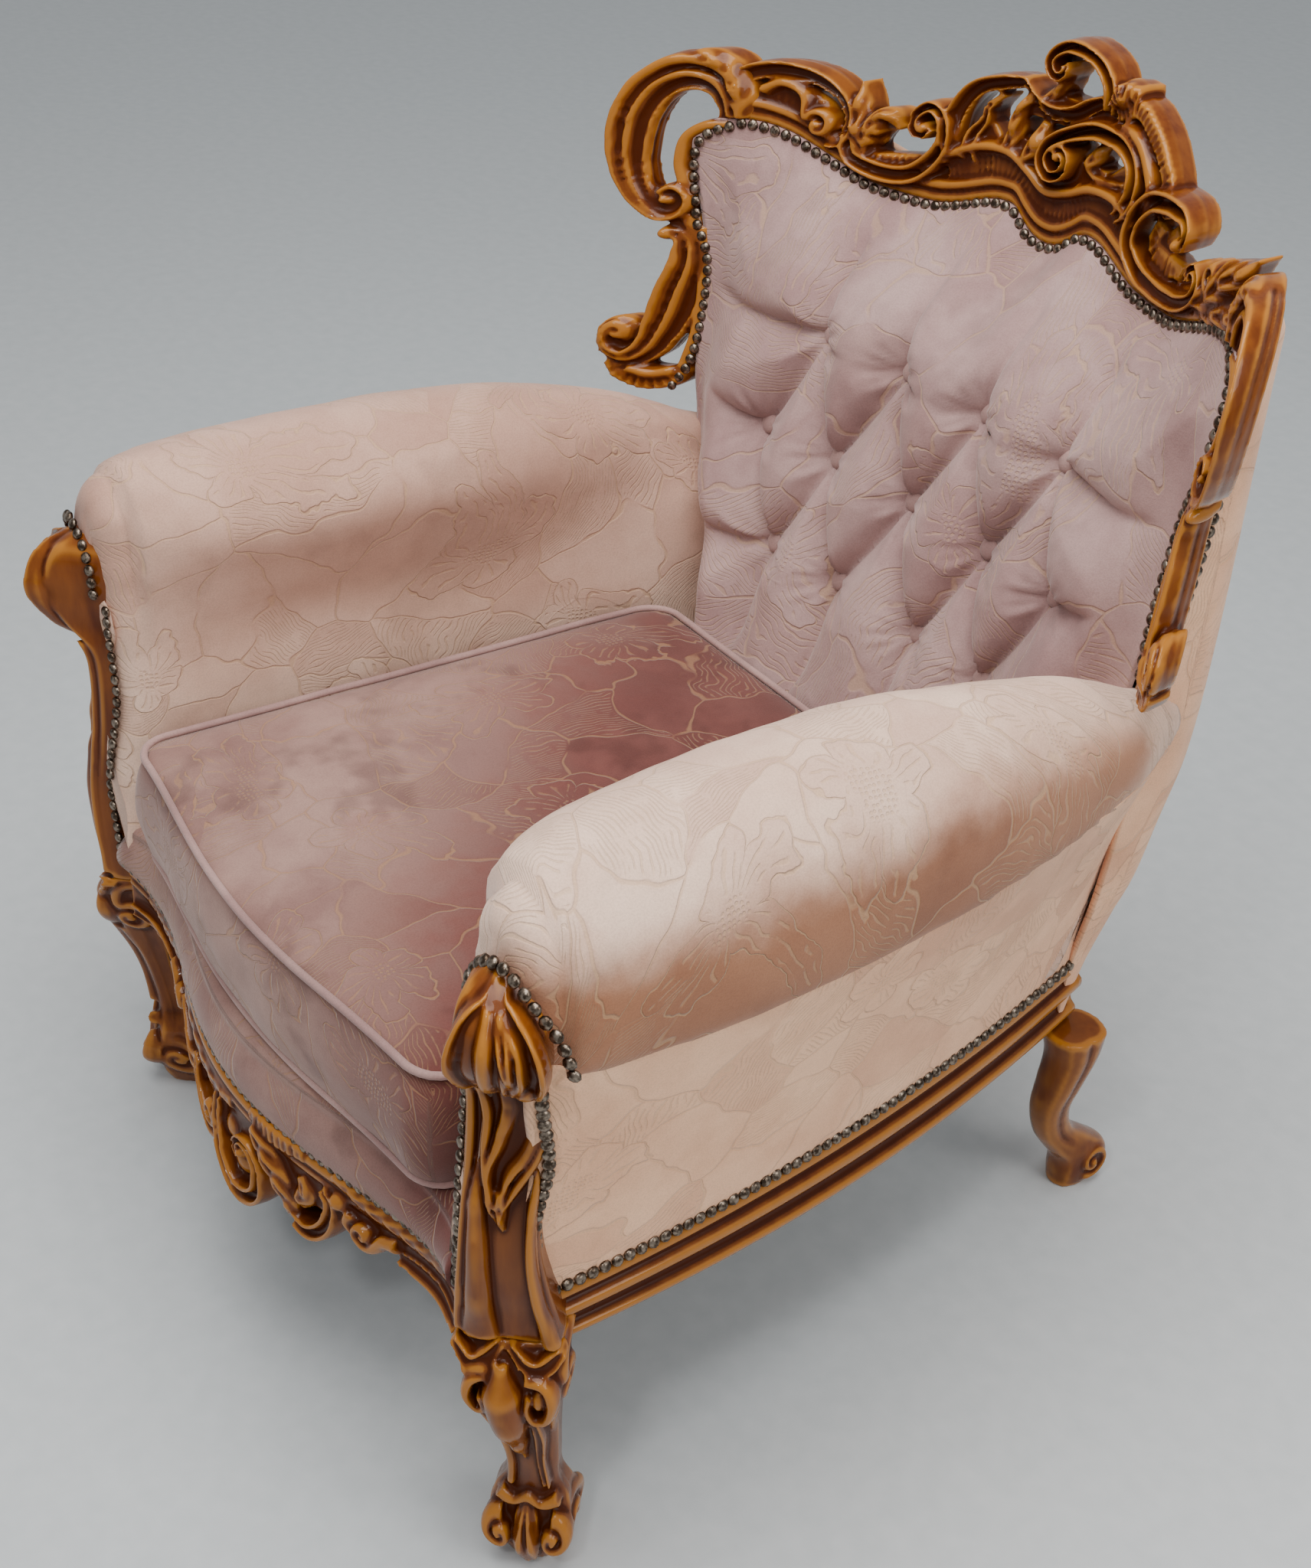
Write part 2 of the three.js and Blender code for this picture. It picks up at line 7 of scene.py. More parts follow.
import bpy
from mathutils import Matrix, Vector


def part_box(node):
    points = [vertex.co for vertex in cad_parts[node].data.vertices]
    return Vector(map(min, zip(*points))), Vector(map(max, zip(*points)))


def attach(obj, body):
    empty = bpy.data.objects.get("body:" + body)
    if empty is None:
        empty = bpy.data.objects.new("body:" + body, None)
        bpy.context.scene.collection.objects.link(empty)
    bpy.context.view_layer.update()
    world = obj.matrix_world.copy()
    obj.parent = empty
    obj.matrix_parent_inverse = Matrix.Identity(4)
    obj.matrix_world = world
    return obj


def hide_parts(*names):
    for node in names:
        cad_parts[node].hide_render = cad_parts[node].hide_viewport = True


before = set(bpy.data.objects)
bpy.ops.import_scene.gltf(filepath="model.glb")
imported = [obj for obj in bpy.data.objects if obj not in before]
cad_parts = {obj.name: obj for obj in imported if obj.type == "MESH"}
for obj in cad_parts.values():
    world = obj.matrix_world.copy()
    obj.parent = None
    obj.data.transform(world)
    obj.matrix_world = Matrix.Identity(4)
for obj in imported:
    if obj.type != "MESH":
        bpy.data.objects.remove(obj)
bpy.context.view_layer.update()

import math

import bmesh
import bpy
import numpy as np
from mathutils import Matrix, Vector
from mathutils.noise import noise


# ---------------------------------------------------------------- camera and light
# Not part of the chair.  It is looked at from above one front corner, under a soft overcast
# sky, with one small lamp for the glints on the varnish.

MM = 0.001
CAMERA_PLACE = Vector((1425.7, -1020.8, 1607.6)) * MM
CAMERA_AZIMUTH, CAMERA_ELEVATION, CAMERA_ROLL = 0.96021, 0.58250, 0.03764
CAMERA_LENS = 50.41


def aim_camera():
    sa, ca = math.sin(CAMERA_AZIMUTH), math.cos(CAMERA_AZIMUTH)
    se, ce = math.sin(CAMERA_ELEVATION), math.cos(CAMERA_ELEVATION)
    back = Vector((sa * ce, -ca * ce, se))
    right = Vector((ca, sa, 0.0))
    turn = Matrix((right, back.cross(right), back)).transposed()
    turn = turn @ Matrix.Rotation(CAMERA_ROLL, 3, "Z")
    data = bpy.data.cameras.new("view")
    data.lens = CAMERA_LENS
    camera = bpy.data.objects.new("view", data)
    camera.matrix_world = Matrix.Translation(CAMERA_PLACE) @ turn.to_4x4()
    bpy.context.collection.objects.link(camera)
    bpy.context.scene.camera = camera


def soft_light(name, place, aim, size, power, tint):
    data = bpy.data.lights.new(name, "AREA")
    data.size = size
    data.energy = power
    data.color = tint
    lamp = bpy.data.objects.new(name, data)
    lamp.location = place
    lamp.rotation_euler = (Vector(aim) - Vector(place)).to_track_quat("-Z", "Y").to_euler()
    bpy.context.collection.objects.link(lamp)


def sky(strength, tint):
    world = bpy.data.worlds.new("overcast")
    world.use_nodes = True
    background = world.node_tree.nodes["Background"]
    background.inputs["Color"].default_value = (*tint, 1)
    background.inputs["Strength"].default_value = strength
    bpy.context.scene.world = world


aim_camera()
sky(0.50, (0.94, 0.97, 1.0))
soft_light("overhead", (0.3, -0.4, 3.2), (0, 0, 0.4), 2.2, 100, (1.0, 0.99, 0.97))
soft_light("window", (2.6, 0.6, 2.2), (0.1, 0, 0.5), 1.4, 30, (1.0, 0.98, 0.95))
soft_light("glint", (1.3, -1.7, 2.6), (0, 0, 0.6), 0.30, 14, (1.0, 1.0, 1.0))


# ---------------------------------------------------------------- floor
# Not part of the chair either: a plain pale ground for it to stand on.  Its finish is the
# first one, so the classes that write shader nodes are here.


class Sum:
    """A socket of a shader node, so that shader maths reads as plain expressions."""

    def __init__(self, nodes, socket):
        self.nodes = nodes
        self.socket = socket

    def _math(self, operation, *values):
        node = self.nodes.tree.nodes.new("ShaderNodeMath")
        node.operation = operation
        for slot, value in zip(node.inputs, values):
            self.nodes.plug(slot, value)
        return Sum(self.nodes, node.outputs[0])

    def __add__(self, other): return self._math("ADD", self, other)
    def __sub__(self, other): return self._math("SUBTRACT", self, other)
    def __mul__(self, other): return self._math("MULTIPLY", self, other)
    def __truediv__(self, other): return self._math("DIVIDE", self, other)
    def __pow__(self, other): return self._math("POWER", self, other)
    def __radd__(self, other): return self._math("ADD", other, self)
    def __rsub__(self, other): return self._math("SUBTRACT", other, self)
    def __rmul__(self, other): return self._math("MULTIPLY", other, self)
    def __rtruediv__(self, other): return self._math("DIVIDE", other, self)
    def __abs__(self): return self._math("ABSOLUTE", self)
    def most(self, other): return self._math("MAXIMUM", self, other)
    def cos(self): return self._math("COSINE", self)
    def turn_of(self, other): return self._math("ARCTAN2", self, other)

    def step(self, low, high):
        """0 below low, 1 above high, smooth between; low above high turns it round."""
        return self.nodes.add("ShaderNodeMapRange", {"interpolation_type": "SMOOTHSTEP", "clamp": True},
                              {"Value": self, "From Min": low, "From Max": high})[0]


class Nodes:
    """A material's node tree: plug() links or sets a socket, add() makes any node."""

    def __init__(self, name):
        self.material = bpy.data.materials.new(name)
        self.material.use_nodes = True
        self.tree = self.material.node_tree
        self.shader = self.tree.nodes["Principled BSDF"]

    def plug(self, slot, value):
        if isinstance(value, Sum):
            self.tree.links.new(value.socket, slot)
        elif isinstance(value, (tuple, list)) and len(slot.default_value) == 4:
            slot.default_value = (*value[:3], 1.0)
        else:
            slot.default_value = value

    def add(self, kind, settings=None, values=None):
        node = self.tree.nodes.new(kind)
        for key, value in (settings or {}).items():
            setattr(node, key, value)
        for key, value in (values or {}).items():
            self.plug(node.inputs[key], value)
        return [Sum(self, socket) for socket in node.outputs if socket.enabled]

    def set(self, **values):
        for key, value in values.items():
            self.plug(self.shader.inputs[key.replace("_", " ")], value)

    def place(self):
        return self.add("ShaderNodeTexCoord")[3]

    def scaled(self, vector, factors):
        return self.add("ShaderNodeVectorMath", {"operation": "MULTIPLY"}, {0: vector, 1: factors})[0]

    def shifted(self, vector, other, operation="ADD"):
        return self.add("ShaderNodeVectorMath", {"operation": operation}, {0: vector, 1: other})[0]

    def parts(self, vector):
        return self.add("ShaderNodeSeparateXYZ", None, {"Vector": vector})

    def noise(self, vector, scale, detail=2.0, rough=0.5):
        return self.add("ShaderNodeTexNoise", None, {"Vector": vector, "Scale": scale, "Detail": detail,
                                                     "Roughness": rough})[0]

    def mix(self, factor, first, second, blend="MIX"):
        node = self.tree.nodes.new("ShaderNodeMix")
        node.data_type = "RGBA"
        node.blend_type = blend
        node.clamp_factor = True
        self.plug(node.inputs[0], factor)
        self.plug(node.inputs[6], first)
        self.plug(node.inputs[7], second)
        return Sum(self, node.outputs[2])

    def bump(self, height, distance, strength, normal=None):
        values = {"Height": height, "Distance": distance, "Strength": strength}
        if normal:
            values["Normal"] = normal
        return self.add("ShaderNodeBump", None, values)[0]

    def attribute(self, name):
        return self.add("ShaderNodeAttribute", {"attribute_name": name})


FLOOR_HALF = 9.0


def make_floor():
    bm = bmesh.new()
    bmesh.ops.create_grid(bm, x_segments=1, y_segments=1, size=FLOOR_HALF)
    mesh = bpy.data.meshes.new("floor")
    bm.to_mesh(mesh)
    floor = bpy.data.objects.new("floor", mesh)
    bpy.context.collection.objects.link(floor)
    nodes = Nodes("pale_floor")
    speckle = nodes.noise(nodes.place(), 40.0, 3.0)
    nodes.set(Base_Color=nodes.mix(speckle, (0.50, 0.53, 0.54), (0.60, 0.62, 0.63)), Roughness=0.85)
    mesh.materials.append(nodes.material)


make_floor()


# ---------------------------------------------------------------- inner frame
# Beech uprights, rails and corner blocks under the cover, glued and dowelled together.
# They keep the frame maker's shapes and only get their unpolished timber.


def timber_finish(name, light, dark):
    """Unpolished timber, its grain along X."""
    nodes = Nodes(name)
    body = nodes.place()
    grain = nodes.noise(nodes.scaled(body, (14.0, 90.0, 90.0)), 1.0, 4.0, 0.6)
    nodes.set(Base_Color=nodes.mix(grain.step(0.3, 0.7), dark, light), Roughness=0.75,
              Normal=nodes.bump(grain, 0.0006, 0.4))
    return nodes.material


def dress(start, finish):
    """Gives every CAD node whose name starts so its finish."""
    for name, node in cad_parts.items():
        if name.startswith(start):
            for place in node.material_slots:
                place.material = finish


FRAME_TIMBER = timber_finish("frame_timber", (0.50, 0.37, 0.22), (0.38, 0.26, 0.14))
# every node starts as plain timber; the pieces below that replace a node hide it
dress("", FRAME_TIMBER)


# ---------------------------------------------------------------- springs, webbing and dust cover
# Zigzag steel wires clipped to the seat rails, jute webbing tacked across the back, and one
# cut of thin lining stretched and tacked under the seat rails.


def weave_finish(name, light, dark, scale):
    """Plain weave with dust in it; scale is its threads per metre."""
    nodes = Nodes(name)
    parts = nodes.parts(nodes.scaled(nodes.place(), (scale, scale, scale)))
    weave = (parts[0] * math.tau).cos() * (parts[1] * math.tau).cos()
    grime = nodes.noise(nodes.place(), 9.0, 3.0)
    tone = nodes.mix(weave.step(-0.6, 0.6), dark, light)
    tone = nodes.mix(grime.step(0.45, 0.75) * 0.4, tone, tuple(c * 0.5 for c in dark))
    nodes.set(Base_Color=tone, Roughness=0.95, Normal=nodes.bump(weave, 0.0004, 0.6))
    return nodes.material


def steel_finish():
    """Spring wire with spots of rust."""
    nodes = Nodes("spring_steel")
    rust = nodes.noise(nodes.place(), 160.0, 3.0).step(0.5, 0.62)
    nodes.set(Base_Color=nodes.mix(rust, (0.33, 0.31, 0.29), (0.20, 0.09, 0.04)),
              Roughness=0.35 + rust * 0.4, Metallic=1.0 - rust)
    return nodes.material


LINING = weave_finish("lining", (0.060, 0.055, 0.050), (0.030, 0.028, 0.026), 700.0)
WEBBING = weave_finish("webbing", (0.42, 0.33, 0.20), (0.24, 0.18, 0.11), 350.0)
STEEL = steel_finish()
dress("back_web", WEBBING)
dress("seat_spring", STEEL)
dress("dust_cover", LINING)


# ---------------------------------------------------------------- rear legs
# Plain cabriole legs of solid beech that kick back to a scroll foot, each glued into its
# rear corner of the seat rails.  The show-wood's finish is made here, for all the carving.


def lerp(a, b, t):
    return a + (b - a) * t


def ramp(value, low, high):
    """0 at low and 1 at high, smooth between."""
    t = min(1.0, max(0.0, (value - low) / (high - low)))
    return t * t * (3 - 2 * t)


def station(rows, at):
    """Smooth interpolation in rows whose first entry is the station."""
    i = 1
    while i < len(rows) - 1 and rows[i][0] < at:
        i += 1
    p1, p2 = rows[i - 1], rows[i]
    p0 = rows[i - 2] if i > 1 else p1
    p3 = rows[i + 1] if i + 1 < len(rows) else p2
    span = p2[0] - p1[0]
    t = min(1.0, max(0.0, (at - p1[0]) / span))
    out = []
    for a, b, c, d in zip(p0[1:], p1[1:], p2[1:], p3[1:]):
        m1 = (c - a) / max(1e-6, p2[0] - p0[0]) * span
        m2 = (d - b) / max(1e-6, p3[0] - p1[0]) * span
        out.append((2 * t**3 - 3 * t**2 + 1) * b + (t**3 - 2 * t**2 + t) * m1
                   + (3 * t**2 - 2 * t**3) * c + (t**3 - t**2) * m2)
    return out


def lump(cuts):
    """A closed block from 0 to 1 each way, cut into a grid."""
    bm = bmesh.new()
    bmesh.ops.create_cube(bm, size=1.0)
    for axis, count in enumerate(cuts):
        run = [e for e in bm.edges if abs((e.verts[0].co - e.verts[1].co)[axis]) > 0.9]
        if count > 1:
            bmesh.ops.subdivide_edges(bm, edges=run, cuts=count - 1)
    bmesh.ops.translate(bm, verts=bm.verts, vec=(0.5, 0.5, 0.5))
    return bm


def finish_mesh(bm, name, material, replaces=()):
    """Makes the mesh a piece of the chair, its faces outwards, in place of its CAD nodes."""
    bmesh.ops.recalc_face_normals(bm, faces=bm.faces)
    if bm.calc_volume(signed=True) < 0:
        bmesh.ops.reverse_faces(bm, faces=bm.faces)
    mesh = bpy.data.meshes.new(name)
    bm.to_mesh(mesh)
    bm.free()
    for face in mesh.polygons:
        face.use_smooth = True
    mesh.materials.append(material)
    piece = bpy.data.objects.new(name, mesh)
    bpy.context.collection.objects.link(piece)
    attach(piece, "root")
    if replaces:
        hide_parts(*replaces)
    return piece


def mirrored(bm):
    """A copy for the other side of the chair."""
    twin = bm.copy()
    bmesh.ops.scale(twin, verts=twin.verts, vec=(-1, 1, 1))
    bmesh.ops.reverse_faces(twin, faces=twin.faces)
    return twin


def joined(parts):
    """One mesh of several, which are used up."""
    whole = bmesh.new()
    whole.verts.layers.float_vector.new("cloth")
    for part in parts:
        mesh = bpy.data.meshes.new("part")
        part.to_mesh(mesh)
        part.free()
        whole.from_mesh(mesh)
        bpy.data.meshes.remove(mesh)
    return whole


def smooth_line(points, count):
    """Evenly spaced points along a Catmull-Rom curve through the given ones."""
    n = len(points)
    dense = []
    for i in range(n - 1):
        p1, p2 = Vector(points[i]), Vector(points[i + 1])
        p0 = Vector(points[i - 1]) if i else p1 * 2 - p2
        p3 = Vector(points[i + 2]) if i + 2 < n else p2 * 2 - p1
        for k in range(12):
            t = k / 12
            dense.append(0.5 * ((2 * p1) + (p2 - p0) * t + (2 * p0 - 5 * p1 + 4 * p2 - p3) * t * t
                                + (3 * p1 - p0 - 3 * p2 + p3) * t**3))
    dense.append(Vector(points[-1]))
    runs = [0.0]
    for a, b in zip(dense, dense[1:]):
        runs.append(runs[-1] + (b - a).length)
    out, i = [], 0
    for k in range(count):
        goal = runs[-1] * k / (count - 1)
        while i < len(runs) - 2 and runs[i + 1] < goal:
            i += 1
        t = (goal - runs[i]) / max(1e-9, runs[i + 1] - runs[i])
        out.append(dense[i].lerp(dense[i + 1], t))
    return out


def make_show_wood():
    """Carved beech, stained honey brown, a dark glazing wiped into the hollows that is also painted shade
    there, worn to gold on the ridges with a painted highlight, under glossy varnish; "relief" and "sunk"
    tell ridges from hollows."""
    nodes = Nodes("show_wood")
    body = nodes.place()
    relief = nodes.attribute("relief")[2]
    sunk = nodes.attribute("sunk")[2]
    streak = nodes.noise(nodes.scaled(body, (60.0, 60.0, 14.0)), 1.0, 4.0, 0.55)
    cloud = nodes.noise(body, 16.0, 3.0)
    tone = nodes.mix(streak.step(0.25, 0.75), (0.098, 0.019, 0.0022), (0.190, 0.050, 0.0050))
    tone = nodes.mix(cloud.step(0.35, 0.75) * 0.45, tone, (0.240, 0.072, 0.0085))
    # ridges: worn to gold, and a painted highlight on the raised edges as well
    ridge = (relief + (cloud - 0.5) * 0.15).step(0.20, 0.90)
    tone = nodes.mix(ridge * 0.62, tone, (0.500, 0.200, 0.028))
    # hollows: real dark glazing and painted shade as well; the broad sunk values stand for shade falling
    # into the recesses
    glaze_and_shade = (0.0 - relief + (cloud - 0.5) * 0.3).step(-0.12, 0.55)
    glaze_and_shade = glaze_and_shade.most((0.0 - sunk).step(0.00, 0.60))
    tone = nodes.mix(glaze_and_shade * 0.90, tone, (0.050, 0.0085, 0.0016))
    scuff = nodes.noise(body, 90.0, 4.0, 0.7)
    nodes.set(Base_Color=tone, Roughness=0.17 + scuff * 0.12 + glaze_and_shade * 0.06, Specular_IOR_Level=0.11,
              Coat_Weight=0.34 - glaze_and_shade * 0.30, Coat_Roughness=0.04,
              Normal=nodes.bump(streak + scuff * 0.4, 0.0006, 0.35))
    return nodes.material


WOOD = make_show_wood()


def bead(s, t):
    """Half round; s runs from -1 to 1 across a stroke and t from 0 to 1 along it; t is not used here."""
    return math.sqrt(max(0.0, 1 - s * s))


def along_values(values, t):
    """One number, or a smooth run through several."""
    if not isinstance(values, (list, tuple)):
        return values
    at = t * (len(values) - 1)
    i = min(len(values) - 2, int(at))
    f = at - i
    return lerp(values[i], values[i + 1], f * f * (3 - 2 * f))


STROKE_BASE = -12.0


def stroke(path, widths, heights, section=bead, base=STROKE_BASE, steps=None, across=14, edge=0.0):
    """A moulded strip along a path on the flat board; half widths and heights vary along it."""
    length = sum(math.dist(a, b) for a, b in zip(path, path[1:]))
    steps = steps or max(8, int(length / 3))
    line = smooth_line(path, steps + 1)
    bm = lump((across, steps, 4 if edge else 1))
    for vert in bm.verts:
        u, v, w = vert.co
        i = round(v * steps)
        p = line[i]
        way = (line[min(steps, i + 1)] - line[max(0, i - 1)]).normalized()
        s = 2 * u - 1
        half = along_values(widths, v) * lerp(0.72, 1.0, w)
        if edge:
            half *= 1 - edge * math.sin(math.pi * 2 * w) ** 2
        out = lerp(base, along_values(heights, v) * section(s, v), w)
        vert.co = Vector((p.x - way.y * half * s, out, p.y + way.x * half * s))
    return bm


def knob(x, z, radius, height, base=-10.0, squash=1.0):
    """A rounded boss on the flat board."""
    bm = bmesh.new()
    bmesh.ops.create_uvsphere(bm, u_segments=20, v_segments=14, radius=1.0)
    bmesh.ops.scale(bm, verts=bm.verts, vec=(radius, (height - base) / 2, radius * squash))
    bmesh.ops.translate(bm, verts=bm.verts, vec=(x, (height + base) / 2, z))
    return bm


def volute(x, z, radius, start, turns, width, height, base=STROKE_BASE, lead=()):
    """A stroke that winds in to an eye; lead is the path that runs into it."""
    path = list(lead)
    count = max(6, int(abs(turns) * 10))
    for i in range(count + 1):
        t = i / count
        r = radius * (1 - 0.78 * t)
        a = math.radians(start) + turns * 2 * math.pi * t
        path.append((x + r * math.cos(a), z + r * math.sin(a)))
    widths = list(width) if isinstance(width, (list, tuple)) else [width, width * 0.8, width * 0.5]
    heights = list(height) if isinstance(height, (list, tuple)) else [height, height, height * 1.1]
    return [stroke(path, widths, heights, bead, base),
            knob(x, z, radius * 0.30, heights[-1] * 1.05, base),
            knob(x, z, radius * 0.8, heights[-1] * 0.35, base)]


def remeshed(parts, size, smoothing):
    """Merges closed lumps into one skin."""
    bm = joined(parts)
    mesh = bpy.data.meshes.new("rough")
    bm.to_mesh(mesh)
    bm.free()
    holder = bpy.data.objects.new("rough", mesh)
    bpy.context.collection.objects.link(holder)
    modifier = holder.modifiers.new("merge", "REMESH")
    modifier.mode = "VOXEL"
    modifier.voxel_size = size
    depth = bpy.context.evaluated_depsgraph_get()
    out = bpy.data.meshes.new_from_object(holder.evaluated_get(depth))
    bpy.data.objects.remove(holder)
    bpy.data.meshes.remove(mesh)
    bm = bmesh.new()
    bm.from_mesh(out)
    bpy.data.meshes.remove(out)
    for _ in range(smoothing):
        bmesh.ops.smooth_vert(bm, verts=bm.verts, factor=0.5,
                              use_axis_x=True, use_axis_y=True, use_axis_z=True)
    return bm


NEAR_STEPS, FAR_STEPS = 8, 70
NEAR_RELIEF, FAR_RELIEF = 0.00075, 0.0040


def relief_values(mesh):
    """Marks ridges (+) and hollows (-) at two scales, for the glazing and painted shade in the hollows and
    the worn edges with their painted highlight.
    """
    n = len(mesh.vertices)
    place, normal = np.empty(n * 3), np.empty(n * 3)
    mesh.vertices.foreach_get("co", place)
    mesh.vertices.foreach_get("normal", normal)
    place, normal = place.reshape(-1, 3), normal.reshape(-1, 3)
    ends = np.empty(len(mesh.edges) * 2, int)
    mesh.edges.foreach_get("vertices", ends)
    a, b = ends[0::2], ends[1::2]
    count = np.bincount(a, minlength=n) + np.bincount(b, minlength=n)
    count = np.maximum(count, 1)

    def spread_once(values):
        out = np.empty_like(values)
        for k in range(values.shape[1]):
            out[:, k] = (np.bincount(a, values[b, k], n) + np.bincount(b, values[a, k], n)) / count
        return out

    soft = place
    for step in range(FAR_STEPS):
        soft = spread_once(soft)
        if step == NEAR_STEPS - 1:
            near = ((place - soft) * normal).sum(1)
    far = ((place - soft) * normal).sum(1)
    for name, values, scale in (("relief", near, NEAR_RELIEF), ("sunk", far, FAR_RELIEF)):
        values = np.clip(values / scale, -1, 1).reshape(-1, 1)
        values = 0.5 * values + 0.5 * spread_once(values)
        layer = mesh.attributes.new(name, "FLOAT", "POINT")
        layer.data.foreach_set("value", values[:, 0].astype(np.float32))


def show_wood_piece(bm, name, node):
    """A finished piece of show-wood, in place of its CAD node."""
    piece = finish_mesh(bm, name, WOOD, [node])
    relief_values(piece.data)


def carving(parts, name, place, node, size=2.0, smoothing=2, twins=True):
    """Merges strokes laid out flat into one carving and sets it where it belongs."""
    bm = remeshed(parts, size, smoothing)
    for vert in bm.verts:
        vert.co = Vector(place(*vert.co)) * MM
    if twins:
        show_wood_piece(bm.copy(), f"{name}_left", f"{node}_left")
        show_wood_piece(mirrored(bm), f"{name}_right", f"{node}_right")
    else:
        show_wood_piece(bm.copy(), name, node)
    bm.free()


# z, middle x, middle y, half width, half depth
REAR_LEG = [
    (0, 273, 334, 17, 22), (16, 274, 340, 21, 30), (42, 276, 338, 22, 32), (64, 277, 318, 19, 28),
    (90, 278, 294, 17, 21), (130, 283, 279, 18, 19), (170, 291, 278, 21, 21), (210, 297, 281, 24, 25),
    (241.7, 297, 279, 28, 31),
]


def rear_leg():
    """The leg's squarish shaft, laid out so that on_rear_leg sets it upright."""
    bm = lump((12, 12, 90))
    for vert in bm.verts:
        u, v, w = vert.co
        z = lerp(0, REAR_LEG[-1][0], w)
        cx, cy, hx, hy = station(REAR_LEG, z)
        a, b = 2 * u - 1, 2 * v - 1
        qx, qy = a * math.sqrt(1 - b * b * 0.42), b * math.sqrt(1 - a * a * 0.42)
        groove = 1 - 0.10 * math.exp(-((b / 0.22) ** 2)) * (abs(a) > 0.9) * ramp(z, 60, 90)
        vert.co = Vector((cx + qx * hx * groove * 1.05, z, cy + qy * hy * 1.02))
    return bm


def on_rear_leg(x, out, z):
    return x, z, out


FOOT_X, FOOT_REAR = 276, 6


def foot_scroll(face):
    """The foot's volute on one face of the leg."""
    parts = volute(336, 34, 21, 250, 1.2, [8, 6, 5], [24, 25, 27], base=0)
    for part in parts:
        for vert in part.verts:
            run, out, up = vert.co
            vert.co = Vector((FOOT_X + face * out, up, run + FOOT_REAR))
        if face < 0:
            bmesh.ops.reverse_faces(part, faces=part.faces)
    return parts


foot = [rear_leg(), *foot_scroll(-1), *foot_scroll(1)]
carving(foot, "rear_leg_carving", on_rear_leg, "rear_leg", size=2.2)


# ---------------------------------------------------------------- front legs
# Carved cabriole legs, each cut from one piece of beech and set at 45 degrees on the canted
# corner of the seat, where both rails are dowelled into it.

CORNER_X, CORNER_Y = 372.0, -425.0
SHAFT_BACK = -50.0


def rims(s):
    """Full height, with the two edges rounded off."""
    return math.sqrt(max(0.0, 1 - max(0.0, (abs(s) - 0.8) / 0.2) ** 2))


def one_sided(s, t):
    """A high rim on one side falling into a hollow, with a low rim on the other."""
    return rims(s) * (0.25 + 0.75 * ramp(s, 0.15, 0.72) + 0.35 * (1 - ramp(abs(s + 0.85), 0.0, 0.25)))


def leafy(count):
    """A leaf with a sunk vein and slanting folds."""
    def section(s, t):
        vein = 1 - 0.30 * math.exp(-((s / 0.14) ** 2))
        fold = 1 + 0.16 * math.cos(2 * math.pi * (count * t - 1.1 * abs(s)))
        return (1 - 0.62 * abs(s) ** 1.6) * vein * fold
    return section


# z, left edge, right edge, back, front (across the canted face, and out from it)
FRONT_LEG = [
    (0, 8, 52, -66, -18), (18, 0, 60, -74, -13), (45, -6, 64, -72, -12), (75, -4, 62, -56, -14),
    (100, 7, 54, -48, -13), (130, 7, 54, -43, -9), (165, 2, 55, -40, -3), (200, -6, 57, -41, 6),
    (235, -16, 61, -44, 13), (262, -20, 63, -48, 13), (290, -26, 61, -50, 5),
]


def on_corner(rows):
    """Sets a flat layout (-50 to 50 across, out, z) on the canted corner."""
    def place(s, out, z):
        left, right, back, front = station(rows, min(rows[-1][0], max(rows[0][0], z)))
        across = lerp(left, right, (s + 50) / 100)
        depth = front + out
        if out <= STROKE_BASE:
            depth = lerp(front + STROKE_BASE, back, (STROKE_BASE - out) / (STROKE_BASE - SHAFT_BACK))
        x = CORNER_X + (across + depth) / math.sqrt(2)
        y = CORNER_Y + (across - depth) / math.sqrt(2)
        return x, y, z
    return place


def shaft(rows, round_off):
    """The upright's ground: -50 to 50 across, its front face at 0."""
    z0, z1 = rows[0][0], rows[-1][0]
    bm = lump((24, int((z1 - z0) / 4), 12))
    for vert in bm.verts:
        u, v, w = vert.co
        s = 2 * u - 1
        front = round_off * (1 - math.sqrt(max(0.0, 1 - s * s * 0.96))) if w > 0.5 else 0
        vert.co = Vector((50 * s * (1 - 0.10 * (1 - w)), lerp(SHAFT_BACK, -front, w), lerp(z0, z1, v)))
    return bm


CHEEK_OUT, CHEEK_BACK = 42, -24


def leg_cheek(side):
    """Knee volute, fillet and foot scroll, laid out flat and then turned onto one cheek."""
    parts = [
        *volute(0, 236, 19, 60, 1.15, [8, 7, 5], [10, 12, 13], base=-8, lead=[(-16, 286), (8, 276)]),
        stroke([(14, 214), (8, 176), (0, 140), (-2, 104)], [8, 8, 7, 8], [7, 6, 5, 5], bead, -8),
        *volute(-4, 42, 24, 70, 1.25, [10, 8, 6], [8, 11, 13], base=-8),
    ]
    for part in parts:
        for vert in part.verts:
            run, out, up = vert.co
            vert.co = Vector((side * (CHEEK_OUT + out), run + CHEEK_BACK, up))
        bmesh.ops.recalc_face_normals(part, faces=part.faces)
    return parts


